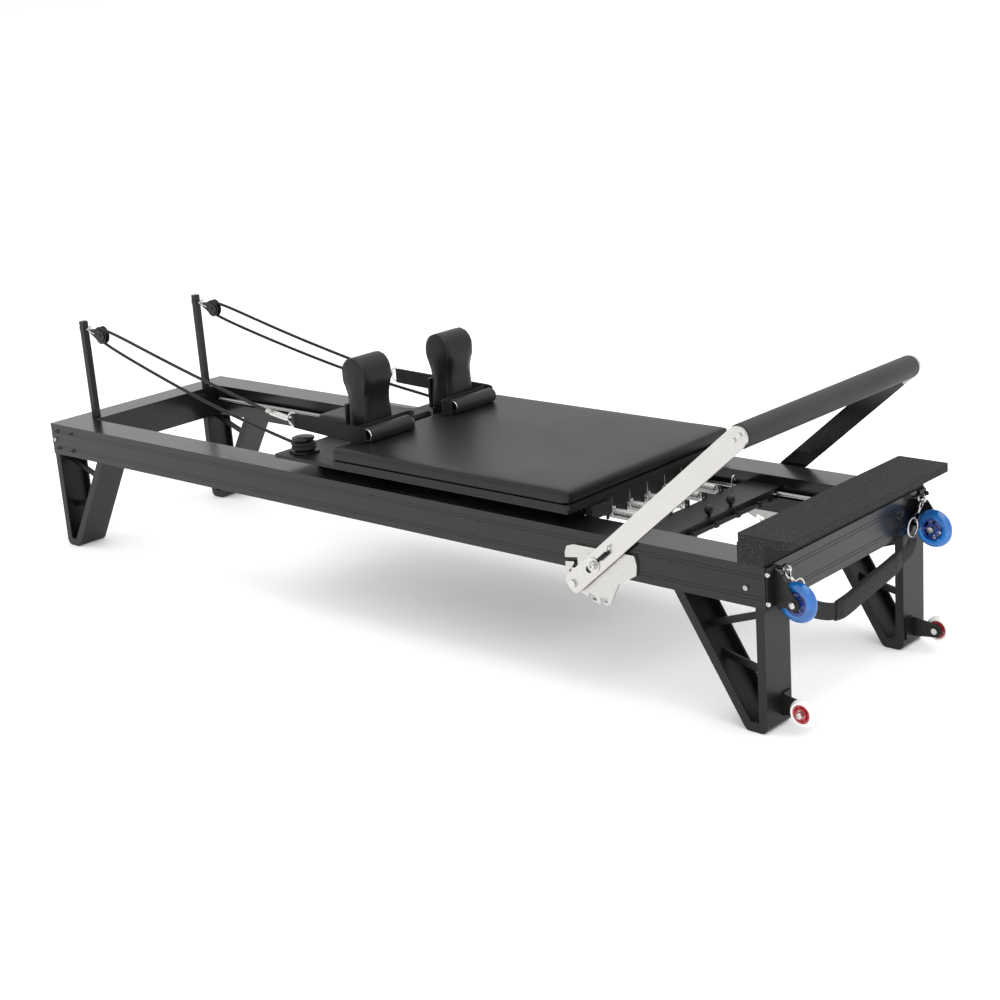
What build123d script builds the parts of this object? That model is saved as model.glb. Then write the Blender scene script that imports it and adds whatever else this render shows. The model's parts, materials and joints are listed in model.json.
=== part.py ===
from build123d import *
from math import acos, atan2, cos, degrees, hypot, pi, radians, sin, tan
import os

# Pilates reformer with an aluminium frame, a rolling carriage, a folding footbar and two
# rope pulleys on riser posts. Millimetres. The origin is the middle of the bounding box,
# on the floor. +X runs to the foot end, +Z is up, and "left" is the -Y side.

os.makedirs("parts", exist_ok=True)

# Frame
frame_length = 2360
frame_width = 606
deck_height = 351
rail_width = 86
rail_height = 86
rail_wall = 4
groove_depth = 0.8
groove_width = 2.0
ledge_width = 26
ledge_thickness = 5
track_rod_diameter = 12
key_thickness = 30
key_length = 120

# Legs
leg_setback = 4
leg_foot_length = 51
leg_spread = 216
leg_sheet = 5
leg_flange = 20
leg_brace_width = 15
leg_brace_thickness = 6

# Carriage
carriage_gap = 24
carriage_length = 735
carriage_setback = 494
carriage_plate_thickness = 9
carriage_plate_extension = 201
carriage_width = 588
carriage_travel = 800
pad_board_thickness = 11
pad_thickness = 31
pad_corner = 12
beam_width = 36
beam_height = 38
beam_wall = 3
beam_inner = 146
load_wheel_diameter = 44
load_wheel_width = 20
load_axle_diameter = 8
wheel_inset = 70

# Shoulder rests and headrest
rest_width = 100
rest_inner = 92
rest_height = 193
rest_waist = 62
rest_bulge = 84
rest_bracket_thickness = 8
rest_bracket_width = 88
rest_bracket_height = 74
rest_post_size = 22
rest_post_depth = 60
socket_wall = 4
headrest_length = 258
headrest_width = 180
headrest_board_thickness = 10
headrest_pin_diameter = 10

# Footbar
footbar_setback = 411
footbar_pivot_drop = 62
footbar_angle = 40.8
footbar_reach = 488
footbar_lock_radius = 79
footbar_arm_width = 45
footbar_arm_thickness = 7.4
footbar_arm_gap = 5.3
footbar_plate_thickness = 6
footbar_lift = 18
footbar_tube_diameter = 32
footbar_foam_diameter = 50
pivot_bolt_diameter = 12
bush_diameter = 16
notch_width = 10
notch_hook = 11
lock_angles = (202.6, 220.8, 252.7, 274.3)

# Pulleys and ropes
post_size = 17
post_height = 271
post_setback = 66
post_spacing = 390
pulley_drop = 22
pulley_tilt = -11.5
sheave_diameter = 48
sheave_width = 13
sheave_groove = 7
rope_diameter = 8
block_length = 52

# Springs and spring bar
spring_count = 5
spring_pitch = 62
spring_diameter = 24
spring_bore = 17
spring_height = 331
spring_length = 520
spring_eye_offset = 5
spring_bar_setback = 402
spring_bar_width = 92
spring_bar_thickness = 6
spring_bar_top = 330
knob_diameter = 20
knob_spacing = 80
knob_travel = 8

# Standing platform
platform_length = 120
platform_overhang = 57
platform_thickness = 18
platform_block_height = 42
platform_block_length = 60

# Transport and glide wheels
transport_wheel_diameter = 84
transport_wheel_width = 24
transport_wheel_offset = 46
transport_wheel_height = 276
transport_wheel_spacing = 520
glide_wheel_diameter = 58
glide_wheel_width = 20
glide_wheel_offset = 54
glide_wheel_height = 48
glide_wheel_spacing = 530
wheel_axle_diameter = 8
bracket_thickness = 4

# Clearances
running_clearance = 0.05
screw_clearance = 0.2
body_gap = 0.5

# Places worked out from the sizes above
overall_length = frame_length + transport_wheel_offset + transport_wheel_diameter / 2
head_x = -overall_length / 2
foot_x = head_x + frame_length
middle_x = (head_x + foot_x) / 2
side_y = frame_width / 2
inner_y = side_y - rail_width
rail_y = side_y - rail_width / 2
rail_bottom = deck_height - rail_height
ledge_top = rail_bottom + 45
rod_y = inner_y - ledge_width + track_rod_diameter / 2 + 4
rod_z = ledge_top + track_rod_diameter / 2

pad_foot_x = foot_x - carriage_setback
pad_head_x = pad_foot_x - carriage_length
plate_bottom = deck_height + carriage_gap
plate_top = plate_bottom + carriage_plate_thickness
plate_head_x = pad_head_x - carriage_plate_extension
board_top = plate_top + pad_board_thickness
pad_top = board_top + pad_thickness
pad_half_width = carriage_width / 2
load_wheel_z = rod_z + track_rod_diameter / 2 + load_wheel_diameter / 2
head_wheel_x = pad_head_x + wheel_inset
foot_wheel_x = pad_foot_x - wheel_inset

pivot_x = foot_x - footbar_setback
pivot_z = deck_height - footbar_pivot_drop
arm_inner = side_y + footbar_plate_thickness + footbar_arm_gap
arm_outer = arm_inner + footbar_arm_thickness

post_x = head_x + post_setback
post_y = post_spacing / 2
eye_z = deck_height + post_height - pulley_drop
eye_x = post_x + post_size / 2 + 20
tilt = radians(pulley_tilt)
sheave_x = eye_x + block_length * cos(tilt)
sheave_z = eye_z + block_length * sin(tilt)
rope_wrap_radius = sheave_diameter / 2 - sheave_groove + rope_diameter / 2 + 0.8

bar_rear_x = foot_x - spring_bar_setback
bar_front_x = bar_rear_x + spring_bar_width
spring_ys = [(i - (spring_count - 1) / 2) * spring_pitch for i in range(spring_count)]


def save(part, name):
    """Label a finished piece and write its STEP file."""
    part.label = name
    export_step(part, f"parts/{name}.step")
    print(name, round(part.volume), len(part.solids()))


def rope_radii(points):
    """As large an arc at each inner point as its two runs allow."""
    radii = []
    for before, here, after in zip(points, points[1:], points[2:]):
        first = Vector(*here) - Vector(*before)
        second = Vector(*after) - Vector(*here)
        half_turn = radians(first.get_angle(second)) / 2
        radii.append(0.45 * min(first.length, second.length) / tan(half_turn))
    return radii


# ---------------------------------------------------------------- frame

# Side rail: a hollow extrusion with a grooved outer face and an inward ledge for the
# track rod, mitred at 45 degrees at both ends.
screw_places = [
    (head_x + 28, deck_height - 20),
    (head_x + 92, deck_height - 20),
    (head_x + 28, deck_height - 68),
    (head_x + 92, deck_height - 68),
    (head_x + 16, deck_height - 44),
    (foot_x - 44, deck_height - 48),
]
screw_diameter = 6
screw_head = 11
groove_heights = [rail_bottom + rail_height * share for share in (0.2, 0.28, 0.72, 0.8)]

with BuildPart() as rail_left:
    with BuildSketch(Plane.YZ.offset(head_x)):
        with Locations((-rail_y, deck_height - rail_height / 2)):
            Rectangle(rail_width, rail_height)
            Rectangle(rail_width - 2 * rail_wall, rail_height - 2 * rail_wall, mode=Mode.SUBTRACT)
        with Locations((-inner_y + ledge_width / 2, ledge_top - ledge_thickness / 2)):
            Rectangle(ledge_width, ledge_thickness)
        with Locations(*[(-side_y, height) for height in groove_heights]):
            Rectangle(2 * groove_depth, groove_width, mode=Mode.SUBTRACT)
    extrude(amount=frame_length)
    for end_x, inward in ((head_x, 1), (foot_x, -1)):
        reach = rail_width + ledge_width + 10
        with BuildSketch(Plane.XY.offset(rail_bottom)):
            with BuildLine():
                Polyline(
                    (end_x, -side_y),
                    (end_x + inward * reach, -side_y + reach),
                    (end_x - inward, -side_y + reach),
                    (end_x - inward, -side_y - 1),
                    (end_x, -side_y - 1),
                    close=True,
                )
            make_face()
        extrude(amount=rail_height, mode=Mode.SUBTRACT)
    for x, z in screw_places:
        with Locations(Plane((x, -side_y, z), z_dir=(0, -1, 0))):
            Hole(screw_diameter / 2 + screw_clearance, depth=rail_wall + 1)
save(rail_left.part, "rail_left")

with BuildPart() as rail_right:
    mirror(rail_left.part, about=Plane.XZ)
save(rail_right.part, "rail_right")

# Crossbars: the same hollow section without the ledge, mitred to meet the rails.
for name, end_x, inward in (("crossbar_head", head_x, 1), ("crossbar_foot", foot_x, -1)):
    with BuildPart() as crossbar:
        with BuildSketch(Plane.XZ.offset(-side_y)):
            with Locations((end_x + inward * rail_width / 2, deck_height - rail_height / 2)):
                Rectangle(rail_width, rail_height)
                hollow = rail_width - 2 * rail_wall
                Rectangle(hollow, hollow, mode=Mode.SUBTRACT)
            with Locations(*[(end_x, height) for height in groove_heights]):
                Rectangle(2 * groove_depth, groove_width, mode=Mode.SUBTRACT)
        extrude(amount=frame_width)
        for side in (-1, 1):
            reach = rail_width + 5
            with BuildSketch(Plane.XY.offset(rail_bottom)):
                with BuildLine():
                    Polyline(
                        (end_x, side * side_y),
                        (end_x + inward * reach, side * (side_y - reach)),
                        (end_x + inward * reach, side * (side_y + 1)),
                        (end_x - inward, side * (side_y + 1)),
                        (end_x - inward, side * side_y),
                        close=True,
                    )
                make_face()
            extrude(amount=rail_height, mode=Mode.SUBTRACT)
    save(crossbar.part, name)

# Corner keys: L-shaped blocks inside the hollow sections that pull each mitre together.
with BuildPart() as corner_keys:
    for end_x, inward in ((head_x, 1), (foot_x, -1)):
        for side in (-1, 1):
            corner = (end_x + inward * (rail_wall + 0.5), side * (side_y - rail_wall - 0.5))
            with BuildSketch(Plane.XY.offset(deck_height - rail_height / 2 - 22)):
                with BuildLine():
                    Polyline(
                        corner,
                        (corner[0] + inward * key_length, corner[1]),
                        (corner[0] + inward * key_length, corner[1] - side * key_thickness),
                        (corner[0] + inward * key_thickness, corner[1] - side * key_thickness),
                        (corner[0] + inward * key_thickness, corner[1] - side * key_length),
                        (corner[0], corner[1] - side * key_length),
                        close=True,
                    )
                make_face()
            extrude(amount=44)
    for x, z in screw_places:
        for side in (-1, 1):
            with Locations(Plane((x, side * side_y, z), z_dir=(0, side, 0))):
                Hole(screw_diameter / 2 + screw_clearance, depth=30)
save(corner_keys.part, "corner_keys")

# Frame screws: button heads on the outer faces of the rails, with their shanks.
with BuildPart() as frame_screws:
    for x, z in screw_places:
        for side in (-1, 1):
            with Locations(Plane((x, side * side_y, z), z_dir=(0, side, 0))):
                align = (Align.CENTER, Align.CENTER, Align.MIN)
                Cylinder(screw_head / 2, 3, align=align)
            with Locations(Plane((x, side * side_y, z), z_dir=(0, -side, 0))):
                Cylinder(screw_diameter / 2, 14, align=align)
save(frame_screws.part, "frame_screws")

# Track rods: round steel bars on the rail ledges that the carriage wheels roll on.
with BuildPart() as track_rods:
    rod_start = head_x + rail_width + 30
    rod_end = foot_x - rail_width - 30
    for side in (-1, 1):
        with BuildSketch(Plane.YZ.offset(rod_start)):
            with Locations((side * rod_y, rod_z)):
                Circle(track_rod_diameter / 2)
        extrude(amount=rod_end - rod_start)
save(track_rods.part, "track_rods")


# Legs: V-shaped channels bent from sheet, one limb upright and one slanting under the rail.
def leg_outline(inset):
    """Corners of the V in the foot-end leg, moved inward from the sheet's outer face."""
    upright_x = foot_x - leg_setback
    slant_x = upright_x - leg_foot_length
    slant = atan2(rail_bottom, leg_spread - leg_foot_length)
    shift = inset / sin(slant)
    return [
        (upright_x - inset, rail_bottom),
        (upright_x - inset, inset),
        (slant_x + shift - inset / tan(slant), inset),
        (slant_x + shift - rail_bottom / tan(slant), rail_bottom),
    ]


def leg_face(inset, corner):
    """Filled V outline with its two lower corners rounded."""
    with BuildSketch(Plane.XZ) as face:
        with BuildLine():
            Polyline(*leg_outline(inset), close=True)
        make_face()
        fillet(face.vertices().group_by(Axis.Y)[0], corner)
    return face.sketch


with BuildPart() as leg_foot_left:
    leg_y = -rail_y - rail_width / 2
    outer = leg_face(0, 16)
    inner = leg_face(leg_sheet, 11)
    core = leg_face(leg_flange, 4)
    extrude(outer.moved(Location((0, leg_y, 0))), amount=-rail_width)
    extrude(core.moved(Location((0, leg_y - 1, 0))), amount=-rail_width - 2, mode=Mode.SUBTRACT)
    pocket = inner.moved(Location((0, leg_y + leg_sheet, 0)))
    extrude(pocket, amount=-rail_width + 2 * leg_sheet, mode=Mode.SUBTRACT)
save(leg_foot_left.part, "leg_foot_left")

leg_mirror = Plane.YZ.offset(middle_x)
with BuildPart() as leg_foot_right:
    mirror(leg_foot_left.part, about=Plane.XZ)
save(leg_foot_right.part, "leg_foot_right")
with BuildPart() as leg_head_left:
    mirror(leg_foot_left.part, about=leg_mirror)
save(leg_head_left.part, "leg_head_left")
with BuildPart() as leg_head_right:
    mirror(leg_foot_right.part, about=leg_mirror)
save(leg_head_right.part, "leg_head_right")

# Leg braces: two flat bars in a zigzag across each V, on the leg's middle line.
with BuildPart() as leg_braces:
    upright_x = foot_x - leg_setback
    brace_runs = [
        ((upright_x, 247), (upright_x - 170, 188)),
        ((upright_x - 120, 133), (upright_x, 108)),
    ]
    for start, end in brace_runs:
        run = Vector(*start) - Vector(*end)
        with BuildSketch(Plane.XZ.offset(rail_y - leg_brace_thickness / 2)):
            middle = ((start[0] + end[0]) / 2, (start[1] + end[1]) / 2)
            with Locations(Location((*middle, 0), (0, 0, degrees(atan2(run.Y, run.X))))):
                Rectangle(run.length + 60, leg_brace_width)
        extrude(amount=leg_brace_thickness)
    inside = leg_face(leg_sheet, 11).moved(Location((0, -rail_y - 20, 0)))
    extrude(inside, amount=-40, mode=Mode.INTERSECT)
    mirror(about=Plane.XZ)
    mirror(about=leg_mirror)
save(leg_braces.part, "leg_braces")

# Standing platform: a slab with a non-slip top, on a block above the foot crossbar.
platform_x = foot_x + platform_overhang
with BuildPart() as standing_platform:
    with BuildSketch(Plane.XY.offset(deck_height)):
        with Locations((platform_x - platform_length + platform_block_length / 2, 0)):
            Rectangle(platform_block_length, frame_width)
    extrude(amount=platform_block_height)
    with BuildSketch(Plane.XY.offset(deck_height + platform_block_height)):
        with Locations((platform_x - platform_length / 2, 0)):
            RectangleRounded(platform_length, frame_width, 6)
    extrude(amount=platform_thickness)
save(standing_platform.part, "standing_platform")

# ---------------------------------------------------------------- wheels on the frame

# Transport wheels: polyurethane skate wheels on the foot crossbar, spinning about Y.
transport_x = foot_x + transport_wheel_offset
transport_y = transport_wheel_spacing / 2
glide_x = foot_x + glide_wheel_offset
glide_y = glide_wheel_spacing / 2


def wheel(diameter, width, hub_diameter, centre):
    """A wheel with a rounded tyre and a spoked hub, bored for its axle."""
    radius = diameter / 2
    hub_radius = hub_diameter / 2
    with BuildPart() as tyre:
        with BuildSketch(Plane.YZ):
            with BuildLine():
                start = Line((-width / 2, hub_radius), (-width / 2, radius * 0.8))
                arc = ThreePointArc(start @ 1, (0, radius), (width / 2, radius * 0.8))
                Polyline(arc @ 1, (width / 2, hub_radius), start @ 0)
            make_face()
        revolve(axis=Axis.Y)
    with BuildPart() as hub:
        with BuildSketch(Plane.XZ.offset(-width / 2 + 2)):
            Circle(hub_radius - running_clearance)
            Circle(wheel_axle_diameter / 2 + running_clearance, mode=Mode.SUBTRACT)
            with PolarLocations(hub_radius * 0.64, 6):
                Circle(hub_radius * 0.2, mode=Mode.SUBTRACT)
        extrude(amount=width - 4)
    place = Location(centre)
    return [tyre.part.moved(place), hub.part.moved(place)]


wheel_sizes = {
    "transport_wheel": (transport_wheel_diameter, transport_wheel_width, 56),
    "glide_wheel": (glide_wheel_diameter, glide_wheel_width, 38),
}
wheel_centres = {
    "transport_wheel": (transport_x, transport_y, transport_wheel_height),
    "glide_wheel": (glide_x, glide_y, glide_wheel_height),
}
for kind, sizes in wheel_sizes.items():
    x, y, z = wheel_centres[kind]
    for side_name, side in (("left", -1), ("right", 1)):
        with BuildPart() as rolling_wheel:
            for solid in wheel(*sizes, (x, side * y, z)):
                add(solid)
        save(rolling_wheel.part, f"{kind}_{side_name}")

# Wheel brackets: L-shaped plates. The transport brackets lie outboard of their wheels on
# the crossbar's face, and the glide brackets lie inboard of theirs on the legs.
transport_tongue_y = transport_y + transport_wheel_width / 2 + 3
glide_tongue_y = glide_y - glide_wheel_width / 2 - 3 - bracket_thickness
leg_face_x = foot_x - leg_setback
with BuildPart() as wheel_brackets:
    with BuildSketch(Plane.XZ.offset(transport_tongue_y)):
        with BuildLine():
            Polyline(
                (foot_x, deck_height - 6),
                (foot_x + 22, deck_height - 22),
                (transport_x + 12, transport_wheel_height + 4),
                (transport_x, transport_wheel_height - 12),
                (foot_x, transport_wheel_height - 8),
                close=True,
            )
        make_face()
        with Locations((transport_x, transport_wheel_height)):
            Circle(14)
    extrude(amount=bracket_thickness)
    with BuildSketch(Plane.YZ.offset(foot_x)):
        flange_width = side_y - transport_tongue_y - 2
        flange_middle = -transport_tongue_y - flange_width / 2
        with Locations((flange_middle, deck_height - rail_height / 2)):
            Rectangle(flange_width, rail_height - 4)
    extrude(amount=bracket_thickness)
    with BuildSketch(Plane.XZ.offset(glide_tongue_y)):
        with BuildLine():
            Polyline(
                (leg_face_x, glide_wheel_height + 22),
                (glide_x, glide_wheel_height + 15),
                (glide_x, glide_wheel_height - 15),
                (leg_face_x, glide_wheel_height - 22),
                close=True,
            )
        make_face()
        with Locations((glide_x, glide_wheel_height)):
            Circle(15)
    extrude(amount=bracket_thickness)
    with BuildSketch(Plane.YZ.offset(leg_face_x)):
        with Locations((-glide_tongue_y + 12, glide_wheel_height)):
            Rectangle(24, 50)
    extrude(amount=bracket_thickness)
    for x, y, z in (
        (transport_x, -transport_y, transport_wheel_height),
        (glide_x, -glide_y, glide_wheel_height),
    ):
        with Locations(Plane((x, y, z), z_dir=(0, 1, 0))):
            Cylinder(wheel_axle_diameter / 2, 80, mode=Mode.SUBTRACT)
    mirror(about=Plane.XZ)
save(wheel_brackets.part, "wheel_brackets")

# ---------------------------------------------------------------- footbar plates

# Footbar plates: stainless plates on the rails. Their rim has four hooked notches for the
# lock pins, all at the same radius from the pivot, and countersunk screws hold them.
plate_screw_places = [
    (pivot_x + 62, pivot_z + 16),
    (pivot_x + 63, pivot_z - 10),
    (pivot_x - 22, pivot_z + 18),
]
with BuildPart() as footbar_plates:
    with BuildSketch(Plane.XZ.offset(side_y)) as plate_outline:
        with BuildLine():
            corners = [
                (-88, 10),
                (-82, 25),
                (-63, 31),
                (98, 33),
                (103, 13),
                (101, -9),
                (78, -23),
                (52, -37),
                (39, -64),
                (28, -87),
                (6, -91),
                (-16, -86),
                (-82, -58),
                (-88, -36),
            ]
            Polyline(*[(pivot_x + x, pivot_z + z) for x, z in corners], close=True)
        make_face()
        fillet(plate_outline.vertices(), 5)
        for angle in lock_angles:
            turn = Location((pivot_x, pivot_z, 0), (0, 0, angle))
            if angle > lock_angles[0]:
                with Locations(turn * Location((footbar_lock_radius + 10, 0, 0))):
                    Rectangle(26, notch_width, mode=Mode.SUBTRACT)
            with Locations(turn * Location((footbar_lock_radius, notch_hook / 2, 0))):
                Rectangle(notch_width, notch_width + notch_hook, mode=Mode.SUBTRACT)
        # The lowest bar position is entered from the edge above its pocket.
        with BuildLine():
            mouth = [(-92, -2), (-54, 4), (-54, -14), (-66, -26), (-76, -26), (-64, -12), (-64, -7), (-92, -11)]
            Polyline(*[(pivot_x + x, pivot_z + z) for x, z in mouth], close=True)
        make_face(mode=Mode.SUBTRACT)
        with Locations((pivot_x, pivot_z)):
            Circle(pivot_bolt_diameter / 2, mode=Mode.SUBTRACT)
    extrude(amount=footbar_plate_thickness)
    mirror(about=Plane.XZ)
    for side in (-1, 1):
        face_y = side * (side_y + footbar_plate_thickness)
        with Locations(*[Plane((x, face_y, z), z_dir=(0, side, 0)) for x, z in plate_screw_places]):
            CounterSinkHole(3, 5.6, depth=footbar_plate_thickness)
save(footbar_plates.part, "footbar_plates")

# ---------------------------------------------------------------- axle bolts

# Axle bolts: the footbar pivot bolts, and the bolts through the four outer wheels.
upward = (Align.CENTER, Align.CENTER, Align.MIN)
with BuildPart() as axle_bolts:
    with Locations(Plane((pivot_x, -side_y, pivot_z), z_dir=(0, -1, 0))):
        Cylinder(pivot_bolt_diameter / 2, arm_outer - side_y + 0.4, align=upward)
    with Locations(Plane((pivot_x, -arm_outer - 0.3, pivot_z), z_dir=(0, -1, 0))):
        Cylinder(16, 2, align=upward)
        Cylinder(9, 6, align=upward)
    transport_start = transport_y - transport_wheel_width / 2
    with Locations(Plane((transport_x, -transport_start, transport_wheel_height), z_dir=(0, -1, 0))):
        Cylinder(wheel_axle_diameter / 2, transport_wheel_width + 3 + bracket_thickness, align=upward)
    with Locations(
        Plane(
            (transport_x, -transport_tongue_y - bracket_thickness, transport_wheel_height),
            z_dir=(0, -1, 0),
        ),
        Plane((transport_x, -transport_start + 1.5, transport_wheel_height), z_dir=(0, 1, 0)),
        Plane((glide_x, -glide_y - glide_wheel_width / 2 - 1.5, glide_wheel_height), z_dir=(0, -1, 0)),
        Plane((glide_x, -glide_tongue_y, glide_wheel_height), z_dir=(0, 1, 0)),
    ):
        Cylinder(7, 5, align=upward)
    with Locations(Plane((transport_x, -transport_start + 1.5, transport_wheel_height), z_dir=(0, -1, 0))):
        Cylinder(wheel_axle_diameter / 2, 4, align=upward)
    with Locations(Plane((glide_x, -glide_tongue_y, glide_wheel_height), z_dir=(0, -1, 0))):
        Cylinder(wheel_axle_diameter / 2, glide_wheel_width + 8.5, align=upward)
    mirror(about=Plane.XZ)
save(axle_bolts.part, "axle_bolts")

# ---------------------------------------------------------------- riser posts and pulleys

# Riser posts: square tubes with closed tops, standing on the head crossbar.
with BuildPart() as riser_posts:
    with BuildSketch(Plane.XY.offset(deck_height)):
        with Locations((post_x, -post_y), (post_x, post_y)):
            Rectangle(post_size, post_size)
            Rectangle(post_size - 4, post_size - 4, mode=Mode.SUBTRACT)
    extrude(amount=post_height)
    with BuildSketch(Plane.XY.offset(deck_height + post_height - 4)):
        with Locations((post_x, -post_y), (post_x, post_y)):
            Rectangle(post_size, post_size)
    extrude(amount=4)
    for side in (-1, 1):
        with Locations(Plane((post_x, side * post_y, eye_z), z_dir=(1, 0, 0))):
            Cylinder(4, 2 * post_size, mode=Mode.SUBTRACT)
save(riser_posts.part, "riser_posts")

# Eye bolts: one through each riser post for its pulley, and two black ones on the foot
# crossbar for the carry strap.
strap_eye_y = transport_y - 4
strap_eye_z = deck_height - 12
strap_eye_x = foot_x + 19
eye_ring = 8
eye_wire = 3
with BuildPart() as eye_bolts:
    for x, y, z, shank in (
        (eye_x, -post_y, eye_z, post_size + 22),
        (strap_eye_x, -strap_eye_y, strap_eye_z, 19),
    ):
        with Locations(Plane((x, y, z), z_dir=(0, 1, 0))):
            Torus(eye_ring, eye_wire)
        with Locations(Plane((x - eye_ring + 1, y, z), z_dir=(-1, 0, 0))):
            Cylinder(4, shank - eye_ring, align=upward)
    with BuildSketch(Plane((post_x - post_size / 2, -post_y, eye_z), z_dir=(-1, 0, 0))):
        RegularPolygon(7.5, 6)
    extrude(amount=7)
    mirror(about=Plane.XZ)
save(eye_bolts.part, "eye_bolts")

# Pulley blocks: two cheek plates on a pin, closed at the back by a shackle on the eye bolt.
# They are modelled level and then tilted about the eye.
cheek_gap = sheave_width / 2 + 0.5
for side_name, side in (("left", -1), ("right", 1)):
    with BuildPart() as pulley_block:
        with BuildSketch(Plane.XZ.offset(cheek_gap)):
            with BuildLine():
                Polyline((12, 6), (44, 17), (66, 12), (72, 0), (66, -12), (44, -17), (12, -6), close=True)
            make_face()
        extrude(amount=2)
        mirror(about=Plane.XZ)
        with Locations(Plane((block_length, 0, 0), z_dir=(0, 1, 0))):
            Cylinder(4, 2 * cheek_gap + 8)
        with Locations((17, 0, 0)):
            Box(5, 2 * cheek_gap, 12)
        with BuildLine() as shackle_path:
            cheek_y = cheek_gap + 1
            bow = [(15, -cheek_y, 0), (0, -cheek_y, 0), (0, cheek_y, 0), (15, cheek_y, 0)]
            FilletPolyline(*bow, radius=4)
        with BuildSketch(Plane((15, -cheek_y, 0), z_dir=(-1, 0, 0))):
            Circle(1.6)
        sweep(path=shackle_path.line)
    with BuildPart() as placed_block:
        add(pulley_block.part, rotation=(0, -pulley_tilt, 0))
    with BuildPart() as final_block:
        add(placed_block.part.moved(Location((eye_x, side * post_y, eye_z))))
    save(final_block.part, f"pulley_block_{side_name}")

    with BuildPart() as sheave:
        with BuildSketch(Plane.YZ):
            bore = 4 + running_clearance
            groove_floor = sheave_diameter / 2 - sheave_groove
            with BuildLine():
                Polyline(
                    (-sheave_width / 2, bore),
                    (-sheave_width / 2, sheave_diameter / 2),
                    (0.5 - sheave_width / 2, sheave_diameter / 2),
                    (-rope_diameter / 2 - 0.6, groove_floor),
                    (rope_diameter / 2 + 0.6, groove_floor),
                    (sheave_width / 2 - 0.5, sheave_diameter / 2),
                    (sheave_width / 2, sheave_diameter / 2),
                    (sheave_width / 2, bore),
                    close=True,
                )
            make_face()
        revolve(axis=Axis.Y)
    with BuildPart() as final_sheave:
        add(sheave.part.moved(Location((sheave_x, side * post_y, sheave_z))))
    save(final_sheave.part, f"sheave_{side_name}")

# ---------------------------------------------------------------- footbar

# Pivot bushes: they turn on the pivot bolts and sit in the slots of the footbar arms.
with BuildPart() as pivot_bushes:
    with BuildSketch(Plane.XZ.offset(arm_inner)):
        with Locations((pivot_x, pivot_z)):
            Circle(bush_diameter / 2)
            Circle(pivot_bolt_diameter / 2 + running_clearance, mode=Mode.SUBTRACT)
    extrude(amount=footbar_arm_thickness)
    with BuildSketch(Plane.XZ.offset(arm_inner - 0.3)):
        with Locations((pivot_x, pivot_z)):
            Circle(bush_diameter / 2)
            Circle(pivot_bolt_diameter / 2 + running_clearance, mode=Mode.SUBTRACT)
    extrude(amount=0.4)
    with BuildSketch(Plane.XZ.offset(side_y + footbar_plate_thickness + 0.3)):
        with Locations((pivot_x, pivot_z)):
            Circle(bush_diameter / 2 + 4)
            Circle(pivot_bolt_diameter / 2 + running_clearance, mode=Mode.SUBTRACT)
    extrude(amount=footbar_arm_gap - 0.6)
    mirror(about=Plane.XZ)
save(pivot_bushes.part, "pivot_bushes")

# Footbar arms: flat stainless bars. The slot lets each arm lift off its lock notch.
lean = radians(footbar_angle)
along = Vector(cos(lean), 0, sin(lean))
arm_frame = Plane((pivot_x, -arm_inner, pivot_z), x_dir=along, z_dir=(0, -1, 0))
bar_x = pivot_x + footbar_reach * cos(lean)
bar_z = pivot_z + footbar_reach * sin(lean)
footbar_screw_offset = 9
spring_pin_reach = 66
with BuildPart() as footbar_arm_left:
    with BuildSketch(arm_frame) as arm_outline:
        arm_foot = footbar_lock_radius + 13
        with Locations(((footbar_reach - arm_foot) / 2, 0)):
            Rectangle(footbar_reach + arm_foot, footbar_arm_width)
        fillet(arm_outline.vertices().group_by(Axis.X)[0], 14)
        with Locations((footbar_reach, 0)):
            Circle(footbar_arm_width / 2)
        with Locations((-footbar_lift / 2 - 0.1, 0)):
            SlotCenterToCenter(footbar_lift + 0.2, bush_diameter + 0.2, mode=Mode.SUBTRACT)
        with Locations((-footbar_lock_radius, 0)):
            Circle(5.1, mode=Mode.SUBTRACT)
        with Locations(
            (footbar_reach - footbar_screw_offset, 0), (footbar_reach + footbar_screw_offset, 0)
        ):
            Circle(3.2, mode=Mode.SUBTRACT)
        with Locations((spring_pin_reach, 8)):
            Circle(2.1, mode=Mode.SUBTRACT)
    extrude(amount=footbar_arm_thickness)
save(footbar_arm_left.part, "footbar_arm_left")
with BuildPart() as footbar_arm_right:
    mirror(footbar_arm_left.part, about=Plane.XZ)
save(footbar_arm_right.part, "footbar_arm_right")

# Footbar tube: a steel tube between the arms with a plug in each end for the screws.
bar_frame = Plane((bar_x, -arm_inner, bar_z), x_dir=along, z_dir=(0, 1, 0))
with BuildPart() as footbar_tube:
    with BuildSketch(bar_frame):
        Circle(footbar_tube_diameter / 2)
    extrude(amount=2 * arm_inner)
    with BuildSketch(bar_frame.offset(30)):
        Circle(footbar_tube_diameter / 2 - 2)
    extrude(amount=2 * arm_inner - 60, mode=Mode.SUBTRACT)
    for plane in (bar_frame, bar_frame.offset(2 * arm_inner - 22)):
        with BuildSketch(plane):
            with Locations((-footbar_screw_offset, 0), (footbar_screw_offset, 0)):
                Circle(3)
        extrude(amount=22, mode=Mode.SUBTRACT)
save(footbar_tube.part, "footbar_tube")

# Footbar foam: a thick closed-cell sleeve over the tube.
with BuildPart() as footbar_foam:
    with BuildSketch(bar_frame.offset(1)):
        Circle(footbar_foam_diameter / 2)
        Circle(footbar_tube_diameter / 2, mode=Mode.SUBTRACT)
    extrude(amount=2 * arm_inner - 2)
save(footbar_foam.part, "footbar_foam")

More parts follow.
